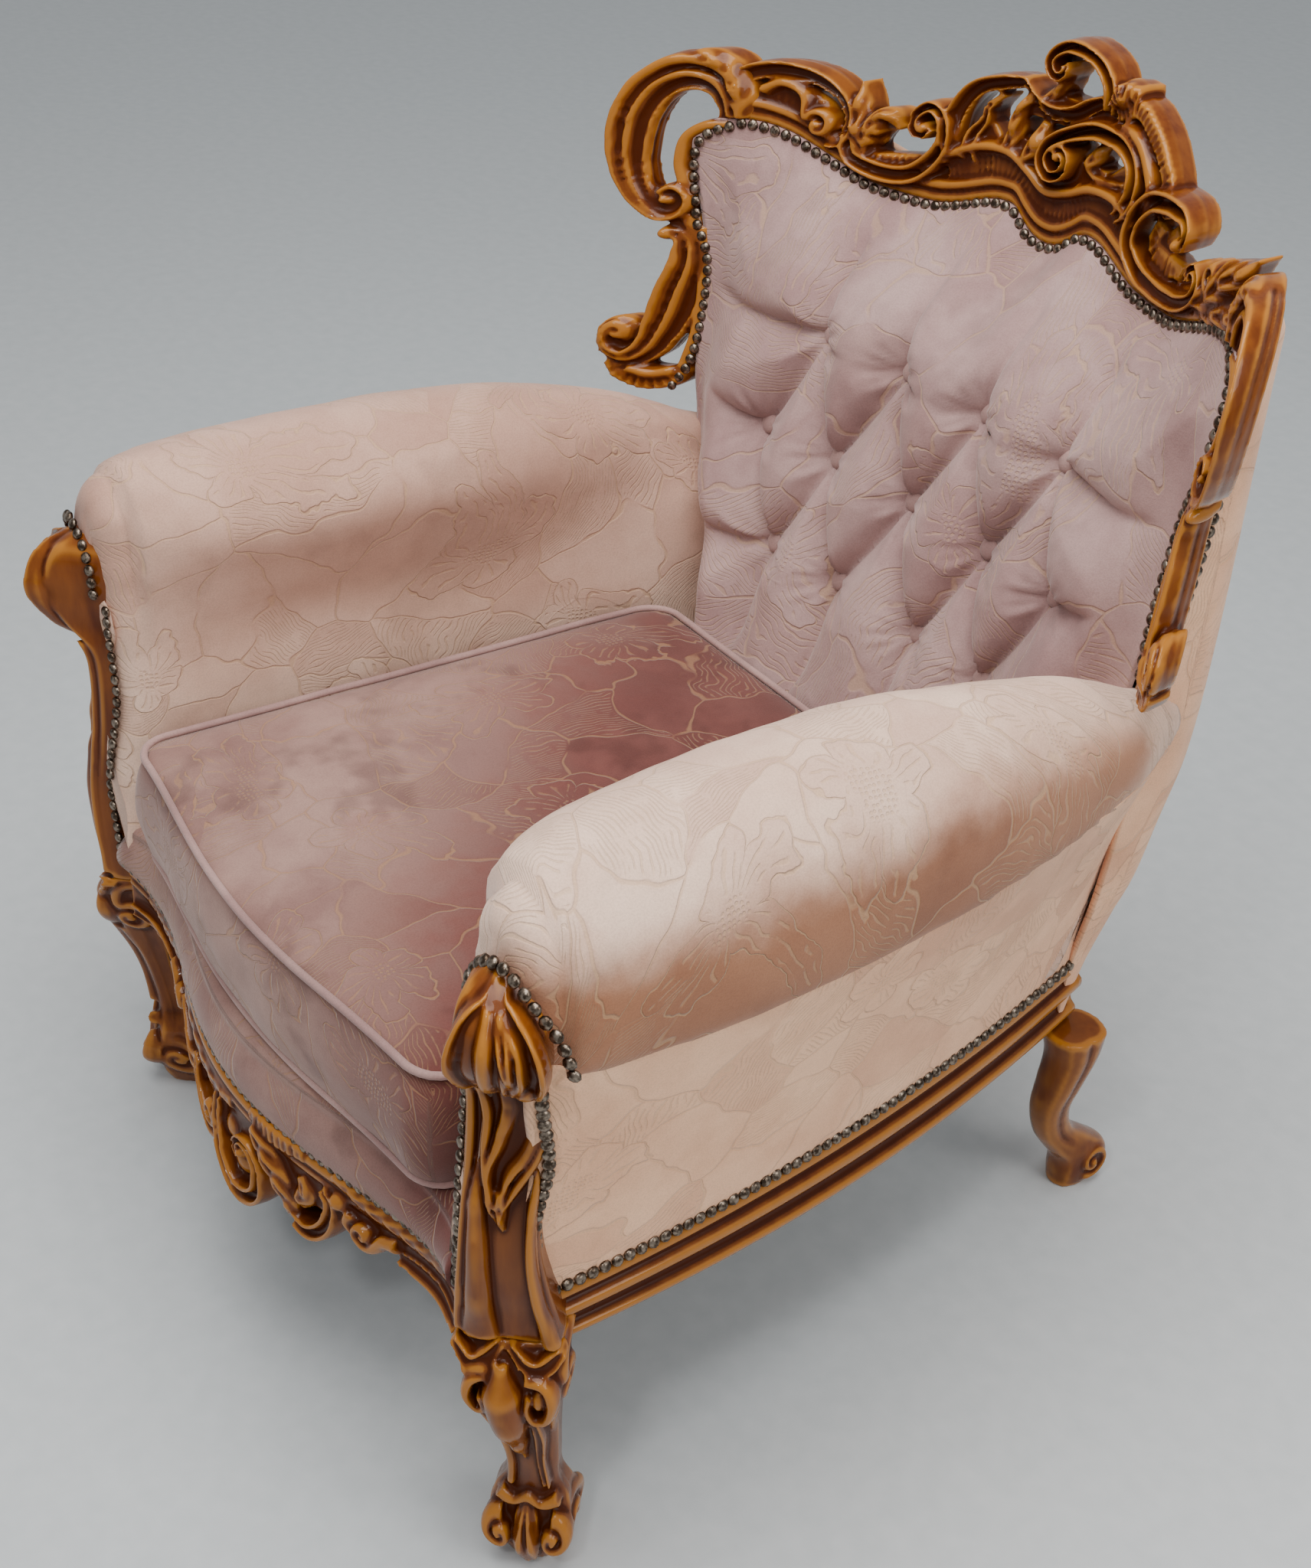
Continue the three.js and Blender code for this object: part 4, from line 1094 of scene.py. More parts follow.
def make_velour(name, light, dark, line, crush, zones=None, strength=0.46):
    """Pile cloth with an embossed drawing of leaves and flowers, crushed unevenly."""
    nodes = Nodes(name)
    cloth = nodes.attribute("cloth")[1]
    body = nodes.place()
    half = (0.5, 0.5, 0.5)
    drift = nodes.add("ShaderNodeTexNoise", None, {"Vector": cloth, "Scale": 6.0, "Detail": 0.0})[1]
    drift = nodes.shifted(drift, half, "SUBTRACT")
    curl = nodes.add("ShaderNodeTexNoise", None, {"Vector": cloth, "Scale": 26.0, "Detail": 1.0})[1]
    curl = nodes.shifted(curl, half, "SUBTRACT")
    bent = nodes.shifted(nodes.shifted(cloth, nodes.scaled(drift, (0.16, 0.16, 0.0))),
                         nodes.scaled(curl, (0.030, 0.030, 0.0)))

    # leaves: crooked shapes, some brushed dark, some combed with close curved lines
    settings = {"feature": "F1", "voronoi_dimensions": "2D"}
    values = {"Vector": bent, "Scale": LEAF_SCALE, "Randomness": 1.0}
    leaf = nodes.add("ShaderNodeTexVoronoi", settings, values)
    to_edge = {"feature": "DISTANCE_TO_EDGE", "voronoi_dimensions": "2D"}
    edge = nodes.add("ShaderNodeTexVoronoi", to_edge, values)[0] / LEAF_SCALE
    chance = nodes.parts(leaf[1])
    inside = nodes.parts(nodes.shifted(bent, leaf[2], "SUBTRACT"))
    lean = chance[0] * 6.283
    across = inside[0] * lean.cos() + inside[1] * (lean + 1.571).cos()
    broken = nodes.noise(cloth, 60.0, 2.0).step(0.36, 0.48)
    combed = chance[1].step(0.52, 0.54) * edge.step(0.002, 0.005)
    comb = (across * 1250.0).cos().step(0.45, 0.95) * combed * broken
    stalk = edge.step(LINE_WIDTH * 1.7, LINE_WIDTH * 0.5) * nodes.noise(cloth, 17.0, 1.0).step(0.30, 0.42)
    brushed = chance[2].step(0.76, 0.79) * edge.step(0.0, 0.002)

    # flowers: one in each large cell, uneven petals round a seed head
    values = {"Vector": bent, "Scale": FLOWER_SCALE, "Randomness": 0.75}
    bloom = nodes.add("ShaderNodeTexVoronoi", settings, values)
    flat = nodes.parts(nodes.shifted(bent, bloom[2], "SUBTRACT"))
    spin = nodes.parts(bloom[1])
    angle = flat[1].turn_of(flat[0]) + spin[0] * 6.3
    radius = bloom[0] / FLOWER_SCALE
    ragged = nodes.noise(cloth, 38.0, 2.0) - 0.5
    rim = 0.030 + abs((angle * 2.5).cos()) ** 0.6 * (0.018 + spin[1] * 0.016) + ragged * 0.030
    outline = abs(radius - rim).step(LINE_WIDTH * 1.7, LINE_WIDTH * 0.6)
    veins = (angle * 19.0 + ragged * 5.0).cos().step(0.55, 0.95) * radius.step(0.016, 0.022)
    veins = veins * (rim * 0.88 - radius).step(0.0, 0.004) * broken
    seeds = nodes.add("ShaderNodeTexVoronoi", {"feature": "F1", "voronoi_dimensions": "2D"},
                      {"Vector": cloth, "Scale": 210.0, "Randomness": 0.4})[0].step(0.42, 0.22)
    seeds = seeds * radius.step(0.018, 0.013)
    petal = (rim - radius).step(0.0, 0.0015)
    leaves = (1.0 - petal) * (stalk * 0.9).most(comb * 0.75)
    drawing = outline.most(veins * 0.75).most(seeds * 0.7).most(leaves)
    # painted shade: a faint shadow along the embossed leaf edges and flower rims
    shadow = (1.0 - petal) * edge.step(LINE_WIDTH * 4.0, LINE_WIDTH)
    shadow = abs(radius - rim).step(LINE_WIDTH * 4.5, LINE_WIDTH).most(shadow)

    # nap: broad crushed patches, cloudy shading and fine pile
    cloud = nodes.noise(body, 8.0, 4.0, 0.62)
    patch = nodes.noise(nodes.shifted(body, (3.1, 0.4, 7.7)), 5.0, 4.0, 0.7).step(0.54, 0.64)
    pile = nodes.noise(body, 620.0, 3.0, 0.7)
    tone = nodes.mix(cloud.step(0.32, 0.70), dark, light)
    tone = nodes.mix(patch * crush, tone, tuple(c * 0.58 for c in dark))
    if zones:
        tone = zones(nodes, body, cloud, tone)
    # one darker tone for the brushed leaves and dark petals, and for the painted shade beside the embossed
    # lines
    brushed_and_shade_tone = nodes.mix(1.0, tone, (0.74, 0.64, 0.62), "MULTIPLY")
    darker = (brushed * (1.0 - petal)).most(petal * spin[2].step(0.6, 0.65) * 0.6)
    tone = nodes.mix(darker * 0.42, tone, brushed_and_shade_tone)
    tone = nodes.mix(shadow * 0.16, tone, brushed_and_shade_tone)
    tone = nodes.mix(drawing * strength, tone, line)
    deep = nodes.mix(1.0, tone, (0.50, 0.46, 0.46), "MULTIPLY")
    tone = nodes.mix(pile.step(0.38, 0.68) * 0.26, tone, deep)
    relief = nodes.bump(petal * 0.5 - drawing - brushed * 0.3, 0.0010, 0.75)
    fuzz = nodes.bump(pile + cloud * 3.0, 0.0006, 0.5, relief)
    nodes.set(Base_Color=tone, Roughness=0.92, Normal=fuzz, Specular_IOR_Level=0.15,
              Sheen_Weight=0.30, Sheen_Roughness=0.45, Sheen_Tint=(1.0, 0.88, 0.84))
    return nodes.material


def seat_zones(nodes, body, cloud, tone):
    """Darker and rosier over the rear of the seat, more towards the near arm."""
    parts = nodes.parts(body)
    rear = (parts[0] + parts[1] + 0.19 + (cloud - 0.5) * 0.45).step(-0.16, 0.10)
    return nodes.mix(rear, tone, nodes.mix(1.0, tone, (0.50, 0.29, 0.29), "MULTIPLY"))


SEAT_VELOUR = make_velour("seat_velour", (0.380, 0.232, 0.192), (0.250, 0.136, 0.116),
                          (0.400, 0.220, 0.110), 0.5, seat_zones, 0.52)


def stuffed(bm, name, velour, node):
    """A padded piece under velour, in place of its plain CAD solid."""
    piece = finish_mesh(bm, name, velour, [node])


DECK_HALF, DECK_TOP, DECK_EDGE, DECK_PUFF = 334.0, 366.0, 352.0, 11.0


def deck_point(u, v, w):
    """Up the padded border from the rail, over its edge, then back under the cushion."""
    x = lerp(-DECK_HALF, DECK_HALF, u)
    if v < 0.5:
        t = v / 0.5
        y = front_y(x) + 1 - DECK_PUFF * math.sin(math.pi * min(1, t * 1.1)) ** 0.8
        z = lerp(front_rail_top(x) - 12, DECK_EDGE, t)
    else:
        t = (v - 0.5) / 0.5
        turn = min(1, t * 8) * math.pi / 2
        y = front_y(x) + 1 + 14 * (1 - math.cos(turn)) + 190 * max(0, t - 0.125)
        z = DECK_EDGE + (DECK_TOP - DECK_EDGE - 4) * math.sin(turn)
    if w < 0.5:
        y, z = y + 7, z - 4 if v > 0.5 else z
    return (x, y, z), (x + 40, y if v > 0.5 else z)


stuffed(shape(lump((80, 60, 1)), deck_point), "deck_border", SEAT_VELOUR, "seat_deck")


# ---------------------------------------------------------------- arms
# Stuffed rolls over a timber rail, each covered in one width of velour that starts under the
# cushion, passes over the roll and is tacked beneath it; the front is gathered to the post.

# y, inner x of the roll, outer x, crown z, inner wall x, underside z
ARM = [
    (-402, 330, 430, 716, 322, 578), (-380, 306, 440, 729, 319, 572), (-320, 286, 446, 738, 319, 566),
    (-200, 272, 447, 742, 317, 562), (-60, 272, 437, 738, 310, 562), (48, 279, 422, 722, 296, 566),
    (150, 288, 400, 694, 279, 574), (200, 294, 387, 674, 272, 580), (230, 300, 376, 660, 268, 584),
    (262, 306, 361, 648, 265, 590), (290, 314, 346, 632, 264, 600),
]


def sheet_grid(across, along):
    """An open sheet from 0 to 1 both ways."""
    bm = bmesh.new()
    bmesh.ops.create_grid(bm, x_segments=across, y_segments=along, size=0.5)
    bmesh.ops.translate(bm, verts=bm.verts, vec=(0.5, 0.5, 0))
    return bm


def arm_zones(nodes, body, cloud, tone):
    """Painted light and shade: a pale crown where the light from above falls, a brown band along the roll's
    underside that is crushed nap and painted shade, and the far arm darkened as painted shade.
    """
    parts = nodes.parts(body)
    drift = (cloud - 0.5) * 0.07
    # painted shade along the roll's underside, with some crushed nap
    under = (abs(parts[0]) + drift).step(0.362, 0.402) * (parts[2] + drift * 1.3).step(0.718, 0.650)
    # painted shade over the far arm
    far = (0.0 - parts[0]).step(-0.1, 0.1) * (parts[2] + drift).step(0.50, 0.66)
    tone = nodes.mix(under * 0.92, tone, nodes.mix(1.0, tone, (0.42, 0.235, 0.135), "MULTIPLY"))
    return nodes.mix(far, tone, nodes.mix(1.0, tone, (0.74, 0.66, 0.65), "MULTIPLY"))


# The arm's velour is set paler than the back's: a painted highlight for the light falling on the crown.
ARM_VELOUR = make_velour("arm_velour", (0.870, 0.615, 0.475), (0.705, 0.460, 0.345),
                         (0.600, 0.385, 0.210), 0.25, arm_zones)
ARM_FRONT, ARM_ROUND, ARM_REAR, ARM_LOW = -417.0, 30.0, 290.0, 334.0
ARM_ACROSS, ARM_ALONG = 84, 120


def arm_section(row, low):
    """The arm cut across, from under the cushion over the roll and down to the side rail."""
    inner, outer, crown, wall, under = row
    wide = outer - inner
    tall = crown - under
    return [
        (wall, low), (wall - 1, lerp(low, under, 0.5)), (wall - 3, under - 12),
        (lerp(wall, inner, 0.55) - 2, under + 0.28 * tall), (inner, crown - 0.40 * tall),
        (inner + 0.13 * wide, crown - 0.14 * tall), (inner + 0.42 * wide, crown),
        (inner + 0.72 * wide, crown - 0.07 * tall), (outer - 0.06 * wide, crown - 0.28 * tall),
        (outer, crown - 0.53 * tall), (outer - 0.03 * wide, under + 0.16 * tall),
        (outer - 0.12 * wide, under + 0.01 * tall), (outer - 0.40 * wide, under - 5),
        (wall + 24, under - 5), (wall + 24, 480), (wall + 37, 405), (wall + 37, low),
    ]


def arm_form():
    """Rings of (x, y, z, pattern) from the gathered front to the back corner."""
    rings = []
    stops = []
    for k in range(9):                                     # face, from its middle outwards
        shrink = 1 - 0.97 * (k / 9 + 0.03) ** 0.8
        stops.append((ARM_FRONT - 6 + 6 * (k / 9) ** 2, ARM_FRONT, shrink, ARM_ROUND))
    for k in range(10):                                    # rounded edge
        turn = k / 10 * math.pi / 2
        y = ARM_FRONT + ARM_ROUND * (1 - math.cos(turn))
        stops.append((y, ARM_FRONT, 0.0, ARM_ROUND * (1 - math.sin(turn))))
    for k in range(ARM_ALONG + 1):                         # along the arm
        y = lerp(ARM_FRONT + ARM_ROUND, ARM_REAR, k / ARM_ALONG)
        stops.append((y, y, 0.0, 0.0))
    for y, at, shrink, inset in stops:
        row = list(station(ARM, max(-402, at)))
        rear = ramp(y, 225, ARM_REAR)
        line = smooth_line(arm_section(row, lerp(ARM_LOW, 470, rear)), ARM_ACROSS)
        middle = Vector(((row[0] + row[1]) / 2 - 8, lerp(row[2], row[4], 0.42)))
        if shrink:
            middle = Vector((row[0] + 50, row[4] + 20))
        ring, run = [], 0.0
        n = len(line)
        for i, p in enumerate(line):
            run += (p - line[i - 1]).length if i else 0
            q = p.copy()
            if inset:
                ahead, behind = line[min(n - 1, i + 2)], line[max(0, i - 2)]
                along = (ahead - behind).normalized()
                outside = i > n * 0.66
                hold = ramp(q.y, row[4] - 30, row[4] + 5) if outside else ramp(q.y, ARM_LOW, ARM_LOW + 60)
                q += Vector((along.y, -along.x)) * inset * hold
            if shrink:
                q = q.lerp(middle, shrink)
            ring.append((q.x, y, q.y, run))
        rings.append(ring)
    return rings


def arm_cover(side):
    """The rings as one sheet, crushed and gathered, its open ends closed."""
    rings = arm_form()
    bm = sheet_grid(ARM_ACROSS - 1, len(rings) - 1)
    along_face = [0.0]
    for a, b in zip(rings, rings[1:]):
        p, q = a[ARM_ACROSS // 2], b[ARM_ACROSS // 2]
        along_face.append(along_face[-1] + math.dist(p[:3], q[:3]))

    def place(u, v, w):
        j = round(v * (len(rings) - 1))
        x, y, z, run = rings[j][round(u * (ARM_ACROSS - 1))]
        y -= 14 * ramp(z, 520, 400) * (1 - ramp(y, -400, -330))
        # crushed hollows along the top and gathers that fan out at the front
        face = 1 - ramp(y, ARM_FRONT + 6, ARM_FRONT + 105)
        over = ramp(z, 575, 660)
        pleat = math.cos(run * 0.145 + 1.2 * noise(Vector((run * 0.02, side * 3.0, 1)))) * face * over
        dent = noise(Vector((run * 0.012 + side * 5, y * 0.011, 2.0))) * 3.2
        dent += noise(Vector((run * 0.035, y * 0.03 + side, 6.0))) * 0.9
        lift = (dent + 1.9 * pleat) * ramp(v, 0.0, 0.05) * (1 - ramp(y, 200, 285))
        z += lift * 0.75 * over
        x += lift * (0.7 if run > 480 else -0.7)
        return (side * x, y, z), (run + (900 if side > 0 else 0), y + along_face[0])

    shape(bm, place)
    bmesh.ops.remove_doubles(bm, verts=bm.verts, dist=2e-5)
    bmesh.ops.holes_fill(bm, edges=[e for e in bm.edges if e.is_boundary])
    return bm


for word, side in SIDES:
    stuffed(arm_cover(side), f"arm_cover_{word}", ARM_VELOUR, f"arm_pad_{word}")


# ---------------------------------------------------------------- outside arm panels
# Velour over a thin layer of wadding on the outside of each arm, tacked under the roll and
# nailed down to the side rail.


def panel_x(y, z):
    """Outer face of the upholstered panel between the side rail and the arm's roll."""
    top = station(ARM, y)[1] - 16
    t = (z - SEAT_RAIL_TOP) / 245
    return lerp(side_x(y) - 2, top, t * t * 0.7 + t * 0.3)


PANEL_VELOUR = make_velour("panel_velour", (0.980, 0.590, 0.365), (0.800, 0.440, 0.262),
                           (0.600, 0.370, 0.210), 0.2, None, 0.36)
PANEL_REAR_Y, PANEL_PUFF, PANEL_TOP = 266.0, 5.5, 590.0
PANEL_FRONT_Y = [(318, -388), (343, -397), (414, -406), (475, -400), (542, -410), (600, -414)]


def outside_panel(side):
    """A thin pad between the side rail and the roll; w = 0 is its inside."""
    def place(u, v, w):
        z = lerp(SEAT_RAIL_TOP + 0.5, PANEL_TOP, v)
        y = lerp(station(PANEL_FRONT_Y, z)[0], PANEL_REAR_Y, u)
        z = lerp(SEAT_RAIL_TOP + 0.5, station(ARM, y)[4] + 14, v)
        puff = 0
        if 0 < v < 1 and 0 < u < 0.98:
            puff = PANEL_PUFF * (math.sin(math.pi * v) * math.sin(math.pi * min(1, u * 1.02))) ** 0.5
        puff += noise(Vector((y * 0.008, z * 0.011, side * 2.0 + 4))) * 1.8 * math.sin(math.pi * v)
        x = panel_x(y, z) + (puff if w > 0.5 else -8)
        return (side * x, y, z), (z + (400 if side > 0 else 2300), y)
    return shape(lump((140, 56, 1)), place)


for word, side in SIDES:
    stuffed(outside_panel(side), f"outside_panel_{word}", PANEL_VELOUR, f"outside_arm_panel_{word}")


# ---------------------------------------------------------------- inside back and its buttons
# A deep-buttoned pad, nailed under the crest and along the side scrolls.  Three staggered
# rows of covered buttons, tied through to the webbing, pull the velour down into pleats.

BACK_VELOUR = make_velour("pink_velour", (0.490, 0.325, 0.302), (0.345, 0.206, 0.195),
                          (0.545, 0.350, 0.205), 0.25)
TRIM_VELOUR = make_velour("piping_velour", (0.470, 0.300, 0.270), (0.330, 0.195, 0.180),
                          (0.45, 0.28, 0.18), 0.2)
PAD_SIDE = [(368, 262), (480, 272), (560, 292), (620, 318), (668, 326), (700, 332), (740, 336), (800, 340),
            (830, 345), (862, 354), (890, 362), (914, 366), (928, 358), (940, 346)]
BUTTON_APART, BUTTON_ROWS = 113, (792, 687, 582)
BUTTON_SPREAD = ((-1.5, -0.5, 0.5, 1.5), (-1.9, -1, 0, 1, 1.9), (-1.42, -0.54, 0.54, 1.42))
BUTTONS = [(k * BUTTON_APART, z) for z, row in zip(BUTTON_ROWS, BUTTON_SPREAD) for k in row]
TUFT_DEEP, PLEAT_DEEP = 40.0, 28.0
PAD_LOW, PAD_HIGH, PAD_DEEPEST_Y = 368, 936, 152


def button_y(x, z):
    """Where the buttons lie: the stuffed face leans back and is a little hollow."""
    return 207 + 0.295 * (z - 490) - x * x / 3500


def pleat_lines():
    """Folds between the buttons, up to the crest, down to the seat and out to the sides."""
    rows = [[b for b in BUTTONS if b[1] == z] for z in BUTTON_ROWS]
    lines = []
    for x, z in rows[0]:
        lines.append(((x, z), (x * 1.02, crest_line(x) + 6), 11.0))
    for upper, lower in ((rows[0], rows[1]), (rows[2], rows[1])):
        for a in upper:
            for b in lower:
                if abs(a[0] - b[0]) < 75:
                    lines.append((a, b, PLEAT_DEEP))
    for x, z in rows[2]:
        lines.append(((x, z), (x * 1.03, 440), 20.0))
    for row, reach, rise, deep in ((1, 1.35, 22, 12.0), (0, 2.0, 8, 9.0), (2, 1.6, -4, 14.0)):
        for x, z in (rows[row][0], rows[row][-1]):
            lines.append(((x, z), (x * reach, z + rise), deep))
    return lines


PLEATS = pleat_lines()


def tuft_depth(x, z):
    """How far the stuffing is pulled in: soft valleys along the pleats, pits at the buttons."""
    gather, crease = 0.0, 0.0
    for (ax, az), (bx, bz), mid in PLEATS:
        dx, dz = bx - ax, bz - az
        length = math.hypot(dx, dz)
        t = min(1.0, max(0.0, ((x - ax) * dx + (z - az) * dz) / length**2))
        bow = 5.0 * math.sin(math.pi * t) * (1 if dx > 0 else -1)
        px = x - ax - t * dx - bow * dz / length
        pz = z - az - t * dz + bow * dx / length
        away = math.hypot(px, pz)
        if away > 90:
            continue
        if mid == PLEAT_DEEP:
            deep = lerp(TUFT_DEEP, mid, (4 * t * (1 - t)) ** 0.5)
        else:
            deep = lerp(TUFT_DEEP, mid, t**0.5) * (1 - 0.9 * ramp(t, 0.55, 1.0))
        side = pz if abs(dx) > 8 else px
        reach = (14 if side > 0 else 25) * (0.55 + 0.45 * deep / TUFT_DEEP)
        valley = 0.62 * math.exp(-((away / reach) ** 1.6)) + 0.38 * math.exp(-((away / 42) ** 2))
        gather = max(gather, deep * valley)
        crease = max(crease, 0.20 * deep * math.exp(-((away / 3.4) ** 2)))
    puckers = 0.0
    for bx, bz in BUTTONS:
        r = math.hypot(x - bx, z - bz)
        if r < 80:
            gather = max(gather, TUFT_DEEP * math.exp(-((r / 19) ** 1.5)))
            turn = math.atan2(z - bz, x - bx)
            rays = math.cos(13 * turn + bx + 1.5 * math.sin(2 * turn))
            puckers += 1.3 * math.exp(-((r - 22) / 16) ** 2) * rays
    return gather + crease + puckers


def pad_point(u, v, w):
    """The pad's stuffed face (w = 1) and its flat back against the webbing (w = 0)."""
    z0 = lerp(PAD_LOW, PAD_HIGH, v)
    half = station(PAD_SIDE, z0)[0]
    x = (2 * u - 1) * half
    z = z0 + (crest_line(x) + 2 - PAD_HIGH) * ramp(v, 0.55, 1.0)
    if w < 0.5:
        return (x, back_y(x, z) + 4, z), (x, z)
    board = back_y(x, z) - 3
    puff = button_y(x, z) - 38
    rise = min(ramp(crest_line(x) - z, 0, 120), ramp(half - abs(x), 0, 80)) ** 0.6
    y = lerp(board, puff, rise)
    y += (tuft_depth(x, z) + noise(Vector((x * 0.013, 0.5, z * 0.013))) * 3.0) * ramp(rise, 0.05, 0.7)
    return (x, max(y, PAD_DEEPEST_Y), z), (x, z * 1.04)


stuffed(shape(lump((190, 170, 1)), pad_point), "buttoned_back", BACK_VELOUR, "inside_back_pad")
BUTTON_RADIUS = 11.0


def button_head(x, z):
    """A flattened dome, turned to face along the leaning back."""
    bm = bmesh.new()
    bmesh.ops.create_uvsphere(bm, u_segments=20, v_segments=12, radius=BUTTON_RADIUS * MM)
    lean = Matrix.Rotation(math.radians(90 - 16), 4, "X")
    bmesh.ops.scale(bm, verts=bm.verts, vec=(1, 1, 0.5))
    bmesh.ops.transform(bm, matrix=lean, verts=bm.verts)
    place = Vector((x, button_y(x, z) + 1.0, z)) * MM
    bmesh.ops.translate(bm, verts=bm.verts, vec=place)
    return bm


for i, (x, z) in enumerate(BUTTONS, 1):
    finish_mesh(button_head(x, z), f"button_{i}", TRIM_VELOUR, [f"back_button_{i}"])


# ---------------------------------------------------------------- outside back
# Plain velour over wadding, one width across the rear, turned round both corners of the
# back and nailed behind the side scrolls.

REAR_PROFILE = [(250, 330), (317, 357), (364, 378), (425, 405), (489, 421), (551, 435),
                (677, 443), (826, 446), (925, 452), (990, 459)]


def rear_y(x, z):
    """The rear face of the outside back, flatter low down."""
    return station(REAR_PROFILE, z)[0] - x * x / 1320 - 14 * (x / 330) ** 4 * ramp(z, 330, 480)


REAR_COVER_TOP = [(0, 946), (44, 962), (136, 948), (198, 948), (288, 976), (340, 980)]
REAR_CORNER_X = [(250, 288), (317, 294), (420, 316), (570, 334), (700, 339), (830, 341), (990, 333)]
REAR_ROUND, REAR_LOW, REAR_HIGH, REAR_TURN_AT, REAR_INSET = 36.0, 254, 978, 0.76, 7
RETURN_FRONT_Y = [(250, 262), (550, 258), (596, 274), (624, 282), (646, 266), (668, 260), (700, 262),
                  (830, 283), (985, 302)]


def rear_point(u, v, w):
    """Across the rear, round each corner, then forwards to the nails; w = 0 is the inside."""
    a = 2 * u - 1
    side = math.copysign(1, a)
    t = max(0.0, (abs(a) - REAR_TURN_AT) / (1 - REAR_TURN_AT))
    z = lerp(REAR_LOW, REAR_HIGH, v)
    for _ in range(2):
        corner = station(REAR_CORNER_X, z)[0] + 1
        front = station(RETURN_FRONT_Y, z)[0]
        turn = min(REAR_ROUND, 0.7 * max(3.0, rear_y(corner, z) - front))
        bend = min(1.0, t / 0.4) * math.pi / 2
        x = min(1.0, abs(a) / REAR_TURN_AT) * (corner - turn) + turn * math.sin(bend)
        z = lerp(REAR_LOW, station(REAR_COVER_TOP, min(340, x))[0], v)
    # over the top the cover rolls forwards to the back of the crest
    over = 1 - math.sqrt(1 - max(0.0, (v - 0.955) / 0.045) ** 2 * 0.999)
    y = rear_y(x, z) - turn * (1 - math.cos(bend))
    crest_back = max(back_y(x, z) + 24, front) if t < 0.001 else front + 3 * (1 - t)
    y = lerp(y, crest_back, over)
    if t > 0.4:
        y = lerp(y, front, (t - 0.4) / 0.6)
    elif 0 < v < 1 and t == 0:
        y += 2.5 * math.sin(math.pi * v) ** 0.5 + noise(Vector((a * 2.2, z * 0.007, 9.0))) * 1.5
    cloth_x = x + rear_y(corner, z) - y if t > 0.4 else x
    if w < 0.5:
        x -= REAR_INSET * math.sin(bend)
        y -= REAR_INSET * math.cos(bend) * (1 - 0.6 * over)
    cloth_z = z
    if w < 0.5 and t < 1:
        z -= REAR_INSET * over
    return (side * x, y, z), (side * cloth_x + 1500, cloth_z)


stuffed(shape(lump((150, 110, 1)), rear_point), "rear_cover", PANEL_VELOUR, "outside_back")


# ---------------------------------------------------------------- upholstery nails
# Domed nails in antique bronze, driven edge to edge along every line where velour meets
# show-wood.

NAIL_ACROSS, NAIL_PITCH, NAIL_DOME, NAIL_TILT = 11.5, 11.9, 0.62, 0.07


def make_nail_finish():
    """Antique bronze, darker and lighter in patches."""
    nodes = Nodes("antique_nails")
    tarnish = nodes.noise(nodes.place(), 210.0, 2.0)
    nodes.set(Base_Color=nodes.mix(tarnish.step(0.4, 0.62), (0.060, 0.040, 0.027), (0.25, 0.20, 0.155)),
              Roughness=0.20 + tarnish * 0.2, Metallic=0.9, Normal=nodes.bump(tarnish, 0.0004, 0.4))
    return nodes.material


NAILS = make_nail_finish()
NAIL_PROUD = 4.5


def nail_row(points, facings):
    """Domes at even steps along a line; facings are the outward directions at its points."""
    runs = [0.0]
    for a, b in zip(points, points[1:]):
        runs.append(runs[-1] + math.dist(a, b))
    count = max(1, round(runs[-1] / NAIL_PITCH))
    bm = bmesh.new()
    i = 0
    for k in range(count + 1):
        goal = runs[-1] * k / count
        while i < len(points) - 2 and runs[i + 1] < goal:
            i += 1
        t = (goal - runs[i]) / max(1e-9, runs[i + 1] - runs[i])
        place = Vector(points[i]).lerp(Vector(points[i + 1]), t)
        out = Vector(facings[i]).lerp(Vector(facings[i + 1]), t).normalized()
        jitter = Vector((noise(place * 0.31), noise(place * 0.37 + Vector((5, 0, 0))), noise(place * 0.41)))
        jitter *= NAIL_TILT
        turn = (out + jitter).to_track_quat("Z", "Y").to_matrix().to_4x4()
        head = bmesh.ops.create_uvsphere(bm, u_segments=10, v_segments=6, radius=NAIL_ACROSS / 2)["verts"]
        bmesh.ops.scale(bm, verts=head, vec=(1, 1, NAIL_DOME))
        bmesh.ops.transform(bm, matrix=Matrix.Translation(place) @ turn, verts=head)
    bmesh.ops.scale(bm, verts=bm.verts, vec=(MM, MM, MM))
    return bm


def back_facing(x):
    """Outwards from the back's curve."""
    return Vector((-x / BACK_RADIUS, -1, BACK_LEAN)).normalized()


def crest_nails():
    """Under the crest rail, from corner to corner."""
    lines = [(x, crest_line(x)) for x in range(-330, 331, 4)]
    points = [(x, back_y(x, z) - NAIL_PROUD, z - 1.5) for x, z in lines]
    return nail_row(points, [back_facing(p[0]) for p in points])


SCROLL_NAILS = [(344, 953), (359, 945), (367, 928), (364, 898), (356, 854), (348, 837), (341, 809),
                (339, 755), (343, 712), (354, 685)]


def scroll_nails(side):
    """Down the inner edge of the side scroll."""
    line = smooth_line([(x - 5, z) for x, z in SCROLL_NAILS], 70)
    points = [(side * p.x, back_y(p.x, p.y) - NAIL_PROUD, p.y) for p in line]
    return nail_row(points, [back_facing(p[0]) for p in points])


def return_nails(side):
    """Down the cover's front edge, behind the side scrolls."""
    zs = [lerp(694, 952, k / 60) for k in range(61)]
    points = [(side * (station(REAR_CORNER_X, z)[0] + 2), station(RETURN_FRONT_Y, z)[0] + 6, z) for z in zs]
    return nail_row(points, [Vector((side, 0, 0))] * 61)


def front_nails():
    """Along the top of the front rail."""
    points = [(x, front_y(x) - 5.0, front_rail_top(x) + 4.5) for x in range(-330, 331, 6)]
    return nail_row(points, [Vector((x / 900, -1, 0.35)) for x in range(-330, 331, 6)])


